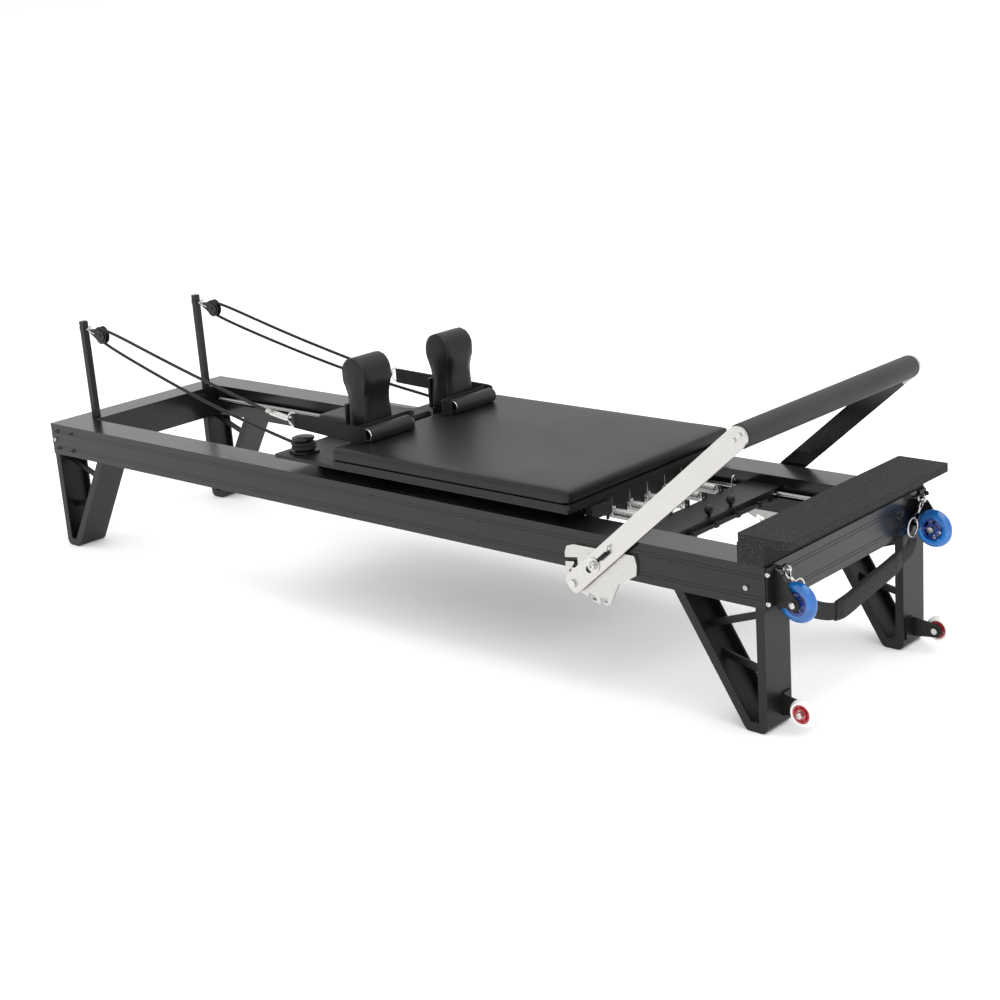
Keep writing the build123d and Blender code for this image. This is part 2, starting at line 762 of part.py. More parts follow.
# Footbar bolts: two screws in each end of the tube, and the two lock pins at the foot of
# the arms, whose shanks stop just short of the notched plates.
with BuildPart() as footbar_bolts:
    for offset in (-footbar_screw_offset, footbar_screw_offset):
        screw_x = bar_x + offset * cos(lean)
        screw_z = bar_z + offset * sin(lean)
        with Locations(Plane((screw_x, -arm_outer, screw_z), z_dir=(0, -1, 0))):
            Cylinder(5, 3, align=upward)
        with Locations(Plane((screw_x, -arm_outer, screw_z), z_dir=(0, 1, 0))):
            Cylinder(3, 24, align=upward)
    pin_x = pivot_x - footbar_lock_radius * cos(lean)
    pin_z = pivot_z - footbar_lock_radius * sin(lean)
    pin_start = side_y + footbar_plate_thickness + body_gap
    with Locations(Plane((pin_x, -pin_start, pin_z), z_dir=(0, -1, 0))):
        Cylinder(5, arm_outer - pin_start + 2, align=upward)
    with Locations(Plane((pin_x, -arm_outer, pin_z), z_dir=(0, -1, 0))):
        Cylinder(9, 5, align=upward)
    mirror(about=Plane.XZ)
save(footbar_bolts.part, "footbar_bolts")

# Arm springs: extension springs from a clip on each pivot bush up to a pin on the arm.
# The coil is a closed sleeve of the spring's outer shape.
spring_y = -arm_outer - 6
with BuildPart() as arm_springs:
    with BuildSketch(Plane((pivot_x, spring_y, pivot_z), z_dir=along).offset(22)):
        Circle(4.5)
        Circle(2.8, mode=Mode.SUBTRACT)
    extrude(amount=30)
    with BuildSketch(Plane((pivot_x, spring_y, pivot_z), z_dir=along).offset(50)):
        Circle(3.5)
    extrude(amount=4)
    end = Vector(pivot_x, 0, pivot_z) + along * spring_pin_reach
    pin_base = Vector(end.X - 8 * sin(lean), -arm_outer, end.Z + 8 * cos(lean))
    with BuildLine() as hook_path:
        hook_start = Vector(pivot_x, spring_y, pivot_z) + along * 53
        Line(hook_start, (pin_base.X, spring_y, pin_base.Z))
    with BuildSketch(Plane(hook_path.line @ 0, z_dir=hook_path.line % 0)):
        Circle(1)
    sweep(path=hook_path.line)
    with Locations(Plane((pin_base.X, pin_base.Y - 8, pin_base.Z), z_dir=(0, 1, 0))):
        Cylinder(2, 8 + footbar_arm_thickness, align=upward)
    mirror(about=Plane.XZ)
save(arm_springs.part, "arm_springs")

# ---------------------------------------------------------------- carriage

# Carriage plate: the flat base under the pad, running on past the pad at the head end.
with BuildPart() as carriage_plate:
    with BuildSketch(Plane.XY.offset(plate_bottom)):
        with Locations(((plate_head_x + pad_foot_x) / 2 - 3, 0)):
            RectangleRounded(pad_foot_x - plate_head_x - 6, 2 * pad_half_width - 6, 4)
    extrude(amount=carriage_plate_thickness)
save(carriage_plate.part, "carriage_plate")

# Pad board and pad: a plywood board carrying a vinyl cushion with rounded edges.
with BuildPart() as pad_board:
    with BuildSketch(Plane.XY.offset(plate_top)):
        with Locations(((pad_head_x + pad_foot_x) / 2, 0)):
            RectangleRounded(carriage_length - 2, carriage_width - 2, pad_corner)
    extrude(amount=pad_board_thickness)
save(pad_board.part, "pad_board")

with BuildPart() as carriage_pad:
    with BuildSketch(Plane.XY.offset(board_top)):
        with Locations(((pad_head_x + pad_foot_x) / 2, 0)):
            RectangleRounded(carriage_length, carriage_width, pad_corner)
    extrude(amount=pad_thickness)
    fillet(carriage_pad.edges().group_by(Axis.Z)[-1], 5)
save(carriage_pad.part, "carriage_pad")

# Carriage beams: two hollow side beams and three flat cross beams under the plate. The
# middle cross beam carries a lug for each spring.
beam_y = beam_inner + beam_width / 2
beam_bottom = plate_bottom - beam_height
cross_thickness = 14
spring_anchor_x = bar_rear_x - spring_eye_offset - spring_length
lug_thickness = 5
with BuildPart() as carriage_beams:
    with BuildSketch(Plane.YZ.offset(plate_head_x + 30)):
        with Locations((-beam_y, plate_bottom - beam_height / 2), (beam_y, plate_bottom - beam_height / 2)):
            Rectangle(beam_width, beam_height)
            Rectangle(beam_width - 2 * beam_wall, beam_height - 2 * beam_wall, mode=Mode.SUBTRACT)
    extrude(amount=pad_foot_x - plate_head_x - 50)
    for x in (head_wheel_x, foot_wheel_x):
        for side in (-1, 1):
            with Locations(Plane((x, side * beam_y, load_wheel_z), z_dir=(0, 1, 0))):
                Cylinder(load_axle_diameter / 2, beam_width + 4, mode=Mode.SUBTRACT)
    cross_height = plate_bottom - cross_thickness / 2
    with Locations(
        (plate_head_x + 60, 0, cross_height),
        (spring_anchor_x, 0, cross_height),
        (pad_foot_x - 40, 0, cross_height),
    ):
        Box(40, 2 * beam_inner - 0.2, cross_thickness)
    with BuildSketch(Plane.YZ.offset(pad_foot_x - 24)):
        comb_top = plate_bottom - cross_thickness + 1
        comb_height = comb_top - spring_height + 10
        with Locations((0, comb_top - comb_height / 2)):
            Rectangle(2 * beam_inner - 4, comb_height)
        with Locations(*[(y, spring_height - 5) for y in spring_ys]):
            Rectangle(spring_diameter + 4, 2 * spring_diameter - 10, mode=Mode.SUBTRACT)
    extrude(amount=4)
    lug_height = plate_bottom - cross_thickness - spring_height + 8
    for y in spring_ys:
        with Locations((spring_anchor_x, y, plate_bottom - cross_thickness - lug_height / 2)):
            Box(12, lug_thickness, lug_height)
        with Locations(Plane((spring_anchor_x, y, spring_height), z_dir=(0, 1, 0))):
            Cylinder(2.6, lug_thickness + 2, mode=Mode.SUBTRACT)
save(carriage_beams.part, "carriage_beams")

# Load wheels: four wheels with a groove that fits over the track rods, on short axles.
wheel_middle_y = rod_y
with BuildPart() as roller_axles:
    for x in (head_wheel_x, foot_wheel_x):
        with Locations(Plane((x, -beam_inner - beam_wall - 2, load_wheel_z), z_dir=(0, -1, 0))):
            axle_length = wheel_middle_y + load_wheel_width / 2 + 3 - beam_inner - beam_wall - 2
            Cylinder(load_axle_diameter / 2, axle_length, align=upward)
        nut_y = wheel_middle_y + load_wheel_width / 2 + 1
        with Locations(Plane((x, -nut_y, load_wheel_z), z_dir=(0, -1, 0))):
            Cylinder(6.5, 4, align=upward)
    mirror(about=Plane.XZ)
save(roller_axles.part, "roller_axles")

for end_name, x in (("head", head_wheel_x), ("foot", foot_wheel_x)):
    with BuildPart() as load_wheels:
        with BuildSketch(Plane.XY):
            half = load_wheel_width / 2
            with Locations((load_wheel_diameter / 4 + 2.2, 0)):
                Rectangle(load_wheel_diameter / 2 - 4.4, load_wheel_width)
            with BuildLine():
                flange = load_wheel_diameter / 2 + 4
                Polyline((5, -half), (flange, -half), (flange, half), (5, half), close=True)
            make_face()
            with Locations((load_wheel_diameter / 2 + track_rod_diameter / 2, 0)):
                Circle(track_rod_diameter / 2 + 0.3, mode=Mode.SUBTRACT)
            with Locations((load_axle_diameter / 4, 0)):
                bore_width = load_axle_diameter / 2 + 2 * running_clearance
                Rectangle(bore_width, load_wheel_width + 2, mode=Mode.SUBTRACT)
        revolve(axis=Axis.Y)
    with BuildPart() as placed_wheels:
        for side in (-1, 1):
            add(load_wheels.part.moved(Location((x, side * wheel_middle_y, load_wheel_z))))
    save(placed_wheels.part, f"load_wheels_{end_name}")

# Stop bumpers: rubber blocks on the rails' inner faces that the carriage beams come up to.
with BuildPart() as stop_bumpers:
    bumper_x = pad_foot_x - 20 + body_gap + 9
    bumper_length = inner_y - beam_inner - 4
    for side in (-1, 1):
        with Locations((bumper_x, side * (inner_y - bumper_length / 2), plate_bottom - 19)):
            Box(18, bumper_length, 28)
save(stop_bumpers.part, "stop_bumpers")

# ---------------------------------------------------------------- shoulder rests, headrest

# Shoulder rests: upholstered blocks with a wide top and a narrower waist, standing over
# the head edge of the pad. Each is screwed to a steel bracket whose post sits in a socket.
rest_x = pad_head_x - 6
rest_y = rest_inner + rest_width / 2
rest_bottom = pad_top + 1.5
post_gap = 0.3
for side_name, side in (("left", -1), ("right", 1)):
    with BuildPart() as shoulder_rest:
        with BuildSketch(Plane.XZ.offset(-side * rest_y - rest_width / 2)):
            with BuildLine():
                half_waist = rest_waist / 2
                half_bulge = rest_bulge / 2
                outline = Spline(
                    (rest_x - half_waist, rest_bottom),
                    (rest_x - half_waist + 1, rest_bottom + rest_height * 0.26),
                    (rest_x - half_waist, rest_bottom + rest_height * 0.48),
                    (rest_x - half_bulge, rest_bottom + rest_height * 0.76),
                    (rest_x - half_bulge * 0.7, rest_bottom + rest_height * 0.94),
                    (rest_x, rest_bottom + rest_height),
                    (rest_x + half_bulge * 0.7, rest_bottom + rest_height * 0.94),
                    (rest_x + half_bulge, rest_bottom + rest_height * 0.76),
                    (rest_x + half_waist, rest_bottom + rest_height * 0.48),
                    (rest_x + half_waist - 1, rest_bottom + rest_height * 0.26),
                    (rest_x + half_waist, rest_bottom),
                )
                Line(outline @ 1, outline @ 0)
            make_face()
        extrude(amount=rest_width)
    save(shoulder_rest.part, f"shoulder_rest_{side_name}")

    bracket_x = rest_x - rest_waist / 2 - 2.5 - rest_bracket_thickness / 2
    rest_post_x = bracket_x - rest_post_size / 2 + rest_bracket_thickness / 2
    with BuildPart() as shoulder_bracket:
        with Locations((rest_post_x, side * rest_y, plate_top + 2)):
            Box(rest_post_size, rest_post_size, rest_post_depth, align=upward)
        with Locations((bracket_x, side * rest_y, rest_bottom)):
            Box(rest_bracket_thickness, rest_bracket_width, rest_bracket_height, align=upward)
        add(shoulder_rest.part, mode=Mode.SUBTRACT)
    save(shoulder_bracket.part, f"shoulder_bracket_{side_name}")

# Headrest: a cushion on a board, hinged at the board's foot end to tilt up.
headrest_x = pad_head_x - 18
headrest_board_bottom = plate_top + 3
headrest_pin_x = headrest_x - 12
headrest_pin_z = headrest_board_bottom + headrest_pin_diameter / 2
headrest_top = pad_top - 1
with BuildPart() as headrest_board:
    with Locations((headrest_x - headrest_length / 2, 0, headrest_board_bottom)):
        Box(headrest_length - 16, headrest_width - 8, headrest_board_thickness, align=upward)
    with Locations(Plane((headrest_pin_x, 0, headrest_pin_z), z_dir=(0, 1, 0))):
        Cylinder(headrest_pin_diameter / 2, headrest_width + 16)
save(headrest_board.part, "headrest_board")

with BuildPart() as headrest_pad:
    cushion_bottom = headrest_board_bottom + headrest_pin_diameter
    with BuildSketch(Plane.XY.offset(cushion_bottom)):
        with Locations((headrest_x - headrest_length / 2, 0)):
            RectangleRounded(headrest_length, headrest_width, 14)
    extrude(amount=headrest_top - cushion_bottom)
    fillet(headrest_pad.edges().group_by(Axis.Z)[-1], 6)
save(headrest_pad.part, "headrest_pad")

# Carriage brackets: the sockets for the shoulder rest posts and the lugs that carry the
# ends of the headrest pin.
socket_height = 34
with BuildPart() as carriage_brackets:
    for side in (-1, 1):
        with BuildSketch(Plane.XY.offset(plate_top)):
            socket_outer = rest_post_size + 2 * post_gap + 2 * socket_wall
            with Locations((rest_post_x, side * rest_y)):
                Rectangle(socket_outer, socket_outer)
                Rectangle(rest_post_size + 2 * post_gap, rest_post_size + 2 * post_gap, mode=Mode.SUBTRACT)
        extrude(amount=socket_height)
        lug_y = headrest_width / 2 + 5
        with Locations((headrest_pin_x, side * lug_y, plate_top)):
            Box(16, 5, 16, align=upward)
        with Locations(Plane((headrest_pin_x, side * lug_y, headrest_pin_z), z_dir=(0, 1, 0))):
            Cylinder(headrest_pin_diameter / 2 + running_clearance, 12, mode=Mode.SUBTRACT)
save(carriage_brackets.part, "carriage_brackets")

# ---------------------------------------------------------------- springs and spring bar

# Springs: extension springs from the middle cross beam of the carriage to the spring bar.
# Each coil is a closed sleeve of its outer shape with an end loop at both ends.
loop_radius = 7
loop_wire = 1.8
spring_start_x = spring_anchor_x + 2 * loop_radius - 1
spring_end_x = bar_rear_x - spring_eye_offset - 2 * loop_radius + 1
with BuildPart() as springs:
    for y in spring_ys:
        with BuildSketch(Plane.YZ.offset(spring_start_x)):
            with Locations((y, spring_height)):
                Circle(spring_diameter / 2)
        extrude(amount=spring_end_x - spring_start_x)
        with BuildSketch(Plane.YZ.offset(spring_start_x + 3)):
            with Locations((y, spring_height)):
                Circle(spring_bore / 2)
        extrude(amount=spring_end_x - spring_start_x - 6, mode=Mode.SUBTRACT)
    for y in spring_ys:
        for x in (spring_anchor_x + loop_radius, bar_rear_x - spring_eye_offset - loop_radius):
            with Locations((x, y, spring_height)):
                Torus(loop_radius, loop_wire)
save(springs.part, "springs")

# Spring bar: a channel across the rails' ledges with an eye for each spring, holes for the
# two pull knobs and a lock rod clipped under its front edge.
knob_x = bar_front_x - 11
with BuildPart() as spring_bar:
    with Locations(((bar_rear_x + bar_front_x) / 2, 0, spring_bar_top - spring_bar_thickness)):
        Box(spring_bar_width, 2 * inner_y - 1, spring_bar_thickness, align=upward)
    for x in (bar_rear_x + 2, bar_front_x - 2):
        with Locations((x, 0, spring_bar_top - 26)):
            Box(4, 2 * (rod_y - 14), 26, align=upward)
    for y in spring_ys:
        with Locations((bar_rear_x - spring_eye_offset, y, spring_height)):
            Box(2 * spring_eye_offset, lug_thickness, 22)
        with Locations(Plane((bar_rear_x - spring_eye_offset, y, spring_height), z_dir=(0, 1, 0))):
            Cylinder(2.6, lug_thickness + 2, mode=Mode.SUBTRACT)
    with Locations(Plane((bar_front_x + 8, 0, spring_bar_top - 16), z_dir=(0, 1, 0))):
        Cylinder(4, 300)
    for y in (-120, -40, 40, 120):
        with Locations((bar_front_x + 5, y, spring_bar_top - 16)):
            Box(14, 12, 12)
    with Locations((knob_x, -knob_spacing / 2, spring_bar_top), (knob_x, knob_spacing / 2, spring_bar_top)):
        Cylinder(4 + running_clearance, 40, mode=Mode.SUBTRACT)
save(spring_bar.part, "spring_bar")

# Pull knobs: black balls on plungers through the spring bar.
for side_name, side in (("left", -1), ("right", 1)):
    with BuildPart() as pull_knob:
        with Locations((knob_x, side * knob_spacing / 2, spring_bar_top + 5 + knob_diameter / 2)):
            Sphere(knob_diameter / 2)
        with Locations((knob_x, side * knob_spacing / 2, spring_bar_top - 24)):
            Cylinder(4, 24 + 12, align=upward)
        with Locations((knob_x, side * knob_spacing / 2, spring_bar_top - 24)):
            Cylinder(6, 5, align=upward)
    save(pull_knob.part, f"pull_knob_{side_name}")

# ---------------------------------------------------------------- ropes and hand loops

# Rope cleats: a base on the carriage plate with a fluted drum that grips the rope.
cleat_x = plate_head_x + 60
cleat_y = pad_half_width - 48
cleat_base = 6
cleat_diameter = 56
cleat_height = 34
cleat_rope_z = plate_top + cleat_base + 13
with BuildPart() as rope_cleats:
    with Locations((cleat_x, -cleat_y, plate_top)):
        Box(64, 44, cleat_base, align=upward)
    with BuildSketch(Plane.XY.offset(plate_top + cleat_base)):
        with Locations((cleat_x, -cleat_y)):
            Circle(cleat_diameter / 2)
        with Locations((cleat_x, -cleat_y)):
            with PolarLocations(cleat_diameter / 2 + 1, 12):
                Circle(2.4, mode=Mode.SUBTRACT)
    extrude(amount=cleat_height)
    fillet(rope_cleats.edges().group_by(Axis.Z)[-1], 1.5)
    mirror(about=Plane.XZ)
save(rope_cleats.part, "rope_cleats")

# Ropes: from the snap hook of each hand loop, round the sheave, and back to the cleat.
snap_places = {-1: plate_head_x - 84, 1: plate_head_x - 192}
snap_z = pad_top + 42
strap_y = rest_inner + rest_width + 38
wrap_radius = rope_wrap_radius - 0.4


def between(start, end, share, sag):
    """A point of a hanging run: a share of the way along, and this far below its line."""
    x, y, z = (a + (b - a) * share for a, b in zip(start, end))
    return (x, y, z - sag)


def touch_turn(point, sense):
    """The angle, seen from the sheave, where a line from a point first touches the wrap."""
    across = point[0] - sheave_x
    above = point[2] - sheave_z
    return atan2(above, across) + sense * acos(rope_wrap_radius / hypot(across, above))


def rope_points(side):
    """The rope's route: a slight sag in both runs, and three corners round the sheave."""
    snap = (snap_places[side], side * strap_y, snap_z)
    cleat = (cleat_x - cleat_diameter / 2 - 0.5, side * cleat_y, cleat_rope_z)
    over = (sheave_x, side * post_y, sheave_z + rope_wrap_radius)
    under = (sheave_x, side * post_y, sheave_z - rope_wrap_radius)
    upper = between(snap, over, 0.57, 5)
    lower = between(cleat, under, 0.65, 14)
    first = touch_turn(upper, 1)
    last = touch_turn(lower, -1) + 2 * pi
    step = (last - first) / 6
    corner = rope_wrap_radius / cos(step)
    corners = []
    for turn in (first + step, first + 3 * step, first + 5 * step):
        corners.append((sheave_x + corner * cos(turn), side * post_y, sheave_z + corner * sin(turn)))
    inner = [between(snap, over, 0.27, 4), upper, *corners, lower, between(cleat, under, 0.3, 16)]
    return [snap, *inner, cleat]


for side_name, side in (("left", -1), ("right", 1)):
    route = rope_points(side)
    radii = rope_radii(route)
    radii[2:5] = [wrap_radius] * 3
    with BuildPart() as rope:
        with BuildLine() as rope_line:
            FilletPolyline(*route, radius=radii)
        with BuildSketch(Plane(rope_line.line @ 0, z_dir=rope_line.line % 0)):
            Circle(rope_diameter / 2)
        sweep(path=rope_line.line)
    save(rope.part, f"rope_{side_name}")
    length = rope_line.wire().length
    ratio = rope.part.volume / (length * rope_diameter**2 * 0.785398)
    print("  rope length", round(length), "volume ratio", round(ratio, 4), [round(r) for r in radii])

# Loop hardware: a swivel snap hook at each rope's end, and the ring of each hand loop.
ring_radius = 17
ring_wire = 2.2
ring_reach = 96
ring_z = pad_top + 31
with BuildPart() as loop_hardware:
    for side in (-1, 1):
        snap = Vector(snap_places[side], side * strap_y, snap_z)
        ring_x = snap_places[side] + ring_reach
        with Locations(Plane((ring_x, side * strap_y, ring_z), z_dir=(0, 1, 0))):
            Torus(ring_radius, ring_wire)
        hook_run = (Vector(ring_x - ring_radius, side * strap_y, ring_z) - snap).normalized()
        with BuildSketch(Plane(snap, x_dir=(0, 1, 0), z_dir=hook_run).offset(0.7)):
            Circle(5.5)
        extrude(amount=16)
        link_frame = Plane(snap + hook_run * 50, x_dir=hook_run, z_dir=hook_run.cross(Vector(0, 1, 0)))
        with BuildSketch(link_frame.offset(-2.5)):
            SlotOverall(72, 20)
            SlotOverall(62, 10, mode=Mode.SUBTRACT)
        extrude(amount=5)
save(loop_hardware.part, "loop_hardware")

# Hand grips: foam rollers on a core tube with a metal ring at both ends, lying on the pad.
grip_diameter = 36
grip_length = 138
grip_x = rest_x + rest_waist / 2 + 32
grip_z = pad_top + grip_diameter / 2 + 0.3
grip_outer = strap_y - 14
grip_middle = grip_outer - grip_length / 2
with BuildPart() as hand_grips:
    with Locations(Plane((grip_x, -grip_middle, grip_z), z_dir=(0, 1, 0))):
        Cylinder(grip_diameter / 2, grip_length)
        Cylinder(10, grip_length, mode=Mode.SUBTRACT)
    with BuildSketch(Plane.XZ.offset(grip_outer + 0.1)):
        with Locations((grip_x, grip_z)):
            Circle(16)
            Circle(11, mode=Mode.SUBTRACT)
    extrude(amount=3)
    with BuildSketch(Plane.XZ.offset(grip_outer - grip_length - 3.1)):
        with Locations((grip_x, grip_z)):
            Circle(16)
            Circle(11, mode=Mode.SUBTRACT)
    extrude(amount=3)
    mirror(about=Plane.XZ)
save(hand_grips.part, "hand_grips")

# Hand straps: webbing on edge. One strand runs from the ring to the grip's outer end, and
# the other leaves the inner end, turns back behind the grip and runs beside the first.
webbing_width = 38
webbing_thickness = 2.4
strand_z = pad_top + 1 + webbing_width / 2
inner_end = grip_outer - grip_length - 4
return_x = grip_x - grip_diameter / 2 - 4.5
with BuildPart() as hand_straps:
    for side in (-1, 1):
        strand_start = snap_places[side] + ring_reach + ring_radius + ring_wire + 2
        outer_strand = [
            (strand_start, side * (strap_y + 1), strand_z + 8),
            (strand_start + 90, side * (strap_y + 3), strand_z + 5),
            (grip_x - 24, side * (strap_y + 1), strand_z),
            (grip_x, side * (grip_outer + 4.5), strand_z),
        ]
        inner_strand = [
            (grip_x, side * inner_end, strand_z),
            (grip_x, side * (inner_end - 24), strand_z),
            (return_x, side * (inner_end - 24), strand_z),
            (return_x, side * (strap_y - 4.5), strand_z),
            (strand_start, side * (strap_y - 3), strand_z + 8),
        ]
        for points, radii in ((outer_strand, (300, 18)), (inner_strand, (10, 10, 18))):
            with BuildLine() as strand:
                FilletPolyline(*points, radius=radii)
            tangent = strand.line % 0
            with BuildSketch(Plane(strand.line @ 0, x_dir=tangent.cross(Vector(0, 0, 1)), z_dir=tangent)):
                Rectangle(webbing_thickness, webbing_width)
            sweep(path=strand.line)
save(hand_straps.part, "hand_straps")

# ---------------------------------------------------------------- carry strap

# Carry strap: webbing hanging in front of the foot crossbar, with a padded sleeve over its
# middle, and a ring and a snap link at both ends.
strap_x = strap_eye_x
strap_route = [
    (strap_x, -212, 243),
    (strap_x, -178, 233),
    (strap_x, -136, 212),
    (strap_x, -88, 195),
    (strap_x, -40, 196),
    (strap_x, 10, 206),
    (strap_x, 62, 214),
    (strap_x, 114, 221),
    (strap_x, 166, 231),
    (strap_x, 212, 244),
]
strap_width = 38
strap_thickness = 3
sleeve_thickness = 14
sleeve_width = 46


def flat_run(points, width, thickness):
    """A flat band or a sleeve along part of the strap's route."""
    with BuildPart() as run:
        with BuildLine() as line:
            if len(points) > 2:
                FilletPolyline(*points, radius=rope_radii(points))
            else:
                Line(*points)
        with BuildSketch(Plane(line.line @ 0, x_dir=(1, 0, 0), z_dir=line.line % 0)):
            if thickness > strap_thickness:
                RectangleRounded(thickness, width, thickness * 0.45)
            else:
                Rectangle(thickness, width)
        sweep(path=line.line)
    return run.part


cuff_height = 26
cuff_top = 262
with BuildPart() as carry_strap:
    add(flat_run(strap_route[:4], strap_width, strap_thickness))
    add(flat_run(strap_route[3:9], sleeve_width, sleeve_thickness))
    add(flat_run(strap_route[8:], strap_width, strap_thickness))
    with Locations((strap_x, -217, cuff_top - cuff_height), (strap_x, 217, cuff_top - cuff_height)):
        Box(strap_thickness, strap_width, cuff_height, align=upward)
save(carry_strap.part, "carry_strap")

# Strap fittings: a ring on the webbing at both ends, hung from each eye by a swivel snap
# that is two oval links, a quarter turn apart, on a short barrel.
strap_ring_radius = 20
strap_ring_wire = 2.2
strap_ring_y = 218
strap_ring_z = cuff_top + strap_ring_radius + strap_ring_wire + 2
with BuildPart() as strap_fittings:
    with Locations(Plane((strap_x, -strap_ring_y, strap_ring_z), z_dir=(1, 0, 0))):
        Torus(strap_ring_radius, strap_ring_wire)
    eye_bottom = Vector(strap_x, -strap_eye_y, strap_eye_z - eye_ring)
    ring_centre = Vector(strap_x, -strap_ring_y, strap_ring_z)
    ring_point = ring_centre + (eye_bottom - ring_centre).normalized() * strap_ring_radius
    snap_run = ring_point - eye_bottom
    snap_way = snap_run.normalized()
    across = Vector(1, 0, 0)
    for start, normal in ((-8, across), (snap_run.length - 16, snap_way.cross(across))):
        with BuildSketch(Plane(eye_bottom + snap_way * (start + 12), x_dir=snap_way, z_dir=normal)):
            SlotOverall(24, 14)
            SlotOverall(18, 8, mode=Mode.SUBTRACT)
        extrude(amount=1.5, both=True)
    with BuildSketch(Plane(eye_bottom + snap_way * 13.5, z_dir=snap_way)):
        Circle(4)
    extrude(amount=snap_run.length - 27)
    mirror(about=Plane.XZ)
save(strap_fittings.part, "strap_fittings")
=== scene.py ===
import bpy
import json
from math import cos, pi, radians, sin
from mathutils import Matrix, Vector

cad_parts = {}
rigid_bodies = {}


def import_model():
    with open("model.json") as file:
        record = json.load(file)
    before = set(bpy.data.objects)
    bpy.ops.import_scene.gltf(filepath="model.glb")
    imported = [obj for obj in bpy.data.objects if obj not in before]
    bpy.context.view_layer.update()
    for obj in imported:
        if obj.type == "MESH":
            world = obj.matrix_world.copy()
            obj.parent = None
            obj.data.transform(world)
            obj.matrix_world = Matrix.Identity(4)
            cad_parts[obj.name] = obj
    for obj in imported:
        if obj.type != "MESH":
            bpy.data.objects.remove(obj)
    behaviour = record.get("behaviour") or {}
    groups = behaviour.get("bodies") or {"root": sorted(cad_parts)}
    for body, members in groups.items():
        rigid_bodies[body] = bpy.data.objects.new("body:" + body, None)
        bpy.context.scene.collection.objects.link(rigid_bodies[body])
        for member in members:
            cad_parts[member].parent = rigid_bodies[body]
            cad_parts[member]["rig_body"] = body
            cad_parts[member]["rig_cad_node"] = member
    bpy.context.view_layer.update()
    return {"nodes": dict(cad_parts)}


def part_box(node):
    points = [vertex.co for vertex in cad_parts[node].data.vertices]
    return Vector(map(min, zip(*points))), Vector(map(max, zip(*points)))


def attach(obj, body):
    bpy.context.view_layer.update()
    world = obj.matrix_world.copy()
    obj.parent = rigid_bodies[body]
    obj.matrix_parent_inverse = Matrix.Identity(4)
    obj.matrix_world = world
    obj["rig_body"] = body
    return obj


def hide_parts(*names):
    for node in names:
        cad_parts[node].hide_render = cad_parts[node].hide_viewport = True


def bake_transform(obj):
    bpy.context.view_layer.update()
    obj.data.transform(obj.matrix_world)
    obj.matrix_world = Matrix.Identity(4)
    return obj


# Pilates reformer: aluminium frame on V legs, sprung carriage, folding footbar, two rope
# pulleys on riser posts. Metres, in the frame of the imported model.
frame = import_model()
nodes = frame["nodes"]

# ---- Camera and studio --------------------------------------------------------------
# A white studio sweep, lit by a bright soft room, one large lamp overhead and a weak sun.
camera_place = Vector((3.0246, -3.0255, 1.5252))
camera_heading = 2.327
camera_pitch = -0.296
camera_roll = -0.075
view_way = Vector((
    cos(camera_heading) * cos(camera_pitch),
    sin(camera_heading) * cos(camera_pitch),
    sin(camera_pitch),
))
level_right = view_way.cross(Vector((0, 0, 1))).normalized()
level_up = level_right.cross(view_way)
right = level_right * cos(camera_roll) + level_up * sin(camera_roll)
up = level_up * cos(camera_roll) - level_right * sin(camera_roll)
bpy.ops.object.camera_add()
camera = bpy.context.object
camera.data.lens = 65.5
camera.data.sensor_width = 36
camera.data.clip_end = 400
camera.matrix_world = Matrix((
    (right.x, up.x, -view_way.x, camera_place.x),
    (right.y, up.y, -view_way.y, camera_place.y),
    (right.z, up.z, -view_way.z, camera_place.z),
    (0, 0, 0, 1),
))
bpy.context.scene.camera = camera
bpy.context.scene.view_settings.view_transform = "Standard"


def paint(code):
    """An sRGB hex colour as the linear colour that a shader takes."""
    channels = [int(code[i:i + 2], 16) / 255 for i in (1, 3, 5)]
    return [c / 12.92 if c <= 0.04045 else ((c + 0.055) / 1.055) ** 2.4 for c in channels] + [1]


def add_node(tree, kind, settings=None, **links):
    """Add a node. settings go on the node or its sockets. Each link joins a socket, by name or
    as iN, to a node's first output or to the output that is given."""
    made = tree.nodes.new(kind)
    for key, value in (settings or {}).items():
        if isinstance(key, int) or key in made.inputs:
            made.inputs[key].default_value = value
        else:
            setattr(made, key, value)
    for key, source in links.items():
        socket = int(key[1:]) if key[0] == "i" and key[1:].isdigit() else key.replace("_", " ")
        tree.links.new(getattr(source, "outputs", [source])[0], made.inputs[socket])
    return made


def new_material(name):
    """An empty node material, and its node tree."""
    material = bpy.data.materials.new(name)
    material.use_nodes = True
    material.node_tree.nodes.clear()
    return material, material.node_tree


world = bpy.data.worlds.new("studio_room")
world.use_nodes = True
world.node_tree.nodes.clear()
room = add_node(world.node_tree, "ShaderNodeBackground", {"Color": (1, 1, 1, 1), "Strength": 1.0})
add_node(world.node_tree, "ShaderNodeOutputWorld", Surface=room)
bpy.context.scene.world = world

bpy.ops.mesh.primitive_plane_add(size=160, location=(0, 0, -0.0006))
floor = bpy.context.object
floor.name = "studio_floor"
sweep, tree = new_material("white_studio_paper")
paper = add_node(tree, "ShaderNodeBsdfPrincipled", {
    "Base Color": paint("#fbfbfb"), "Roughness": 0.9,
    "Emission Color": paint("#ffffff"), "Emission Strength": 0.16,
})
add_node(tree, "ShaderNodeOutputMaterial", Surface=paper)
floor.data.materials.append(sweep)

bpy.ops.object.light_add(type="AREA", location=(1.2, 0.6, 4.2), rotation=(radians(-6), radians(12), 0))
overhead = bpy.context.object
overhead.data.shape = "RECTANGLE"
overhead.data.size = 4.5
overhead.data.size_y = 3.5
overhead.data.energy = 80
bpy.ops.object.light_add(type="SUN", rotation=(radians(32), radians(18), radians(20)))
fill = bpy.context.object
fill.data.energy = 0.4
fill.data.angle = radians(50)


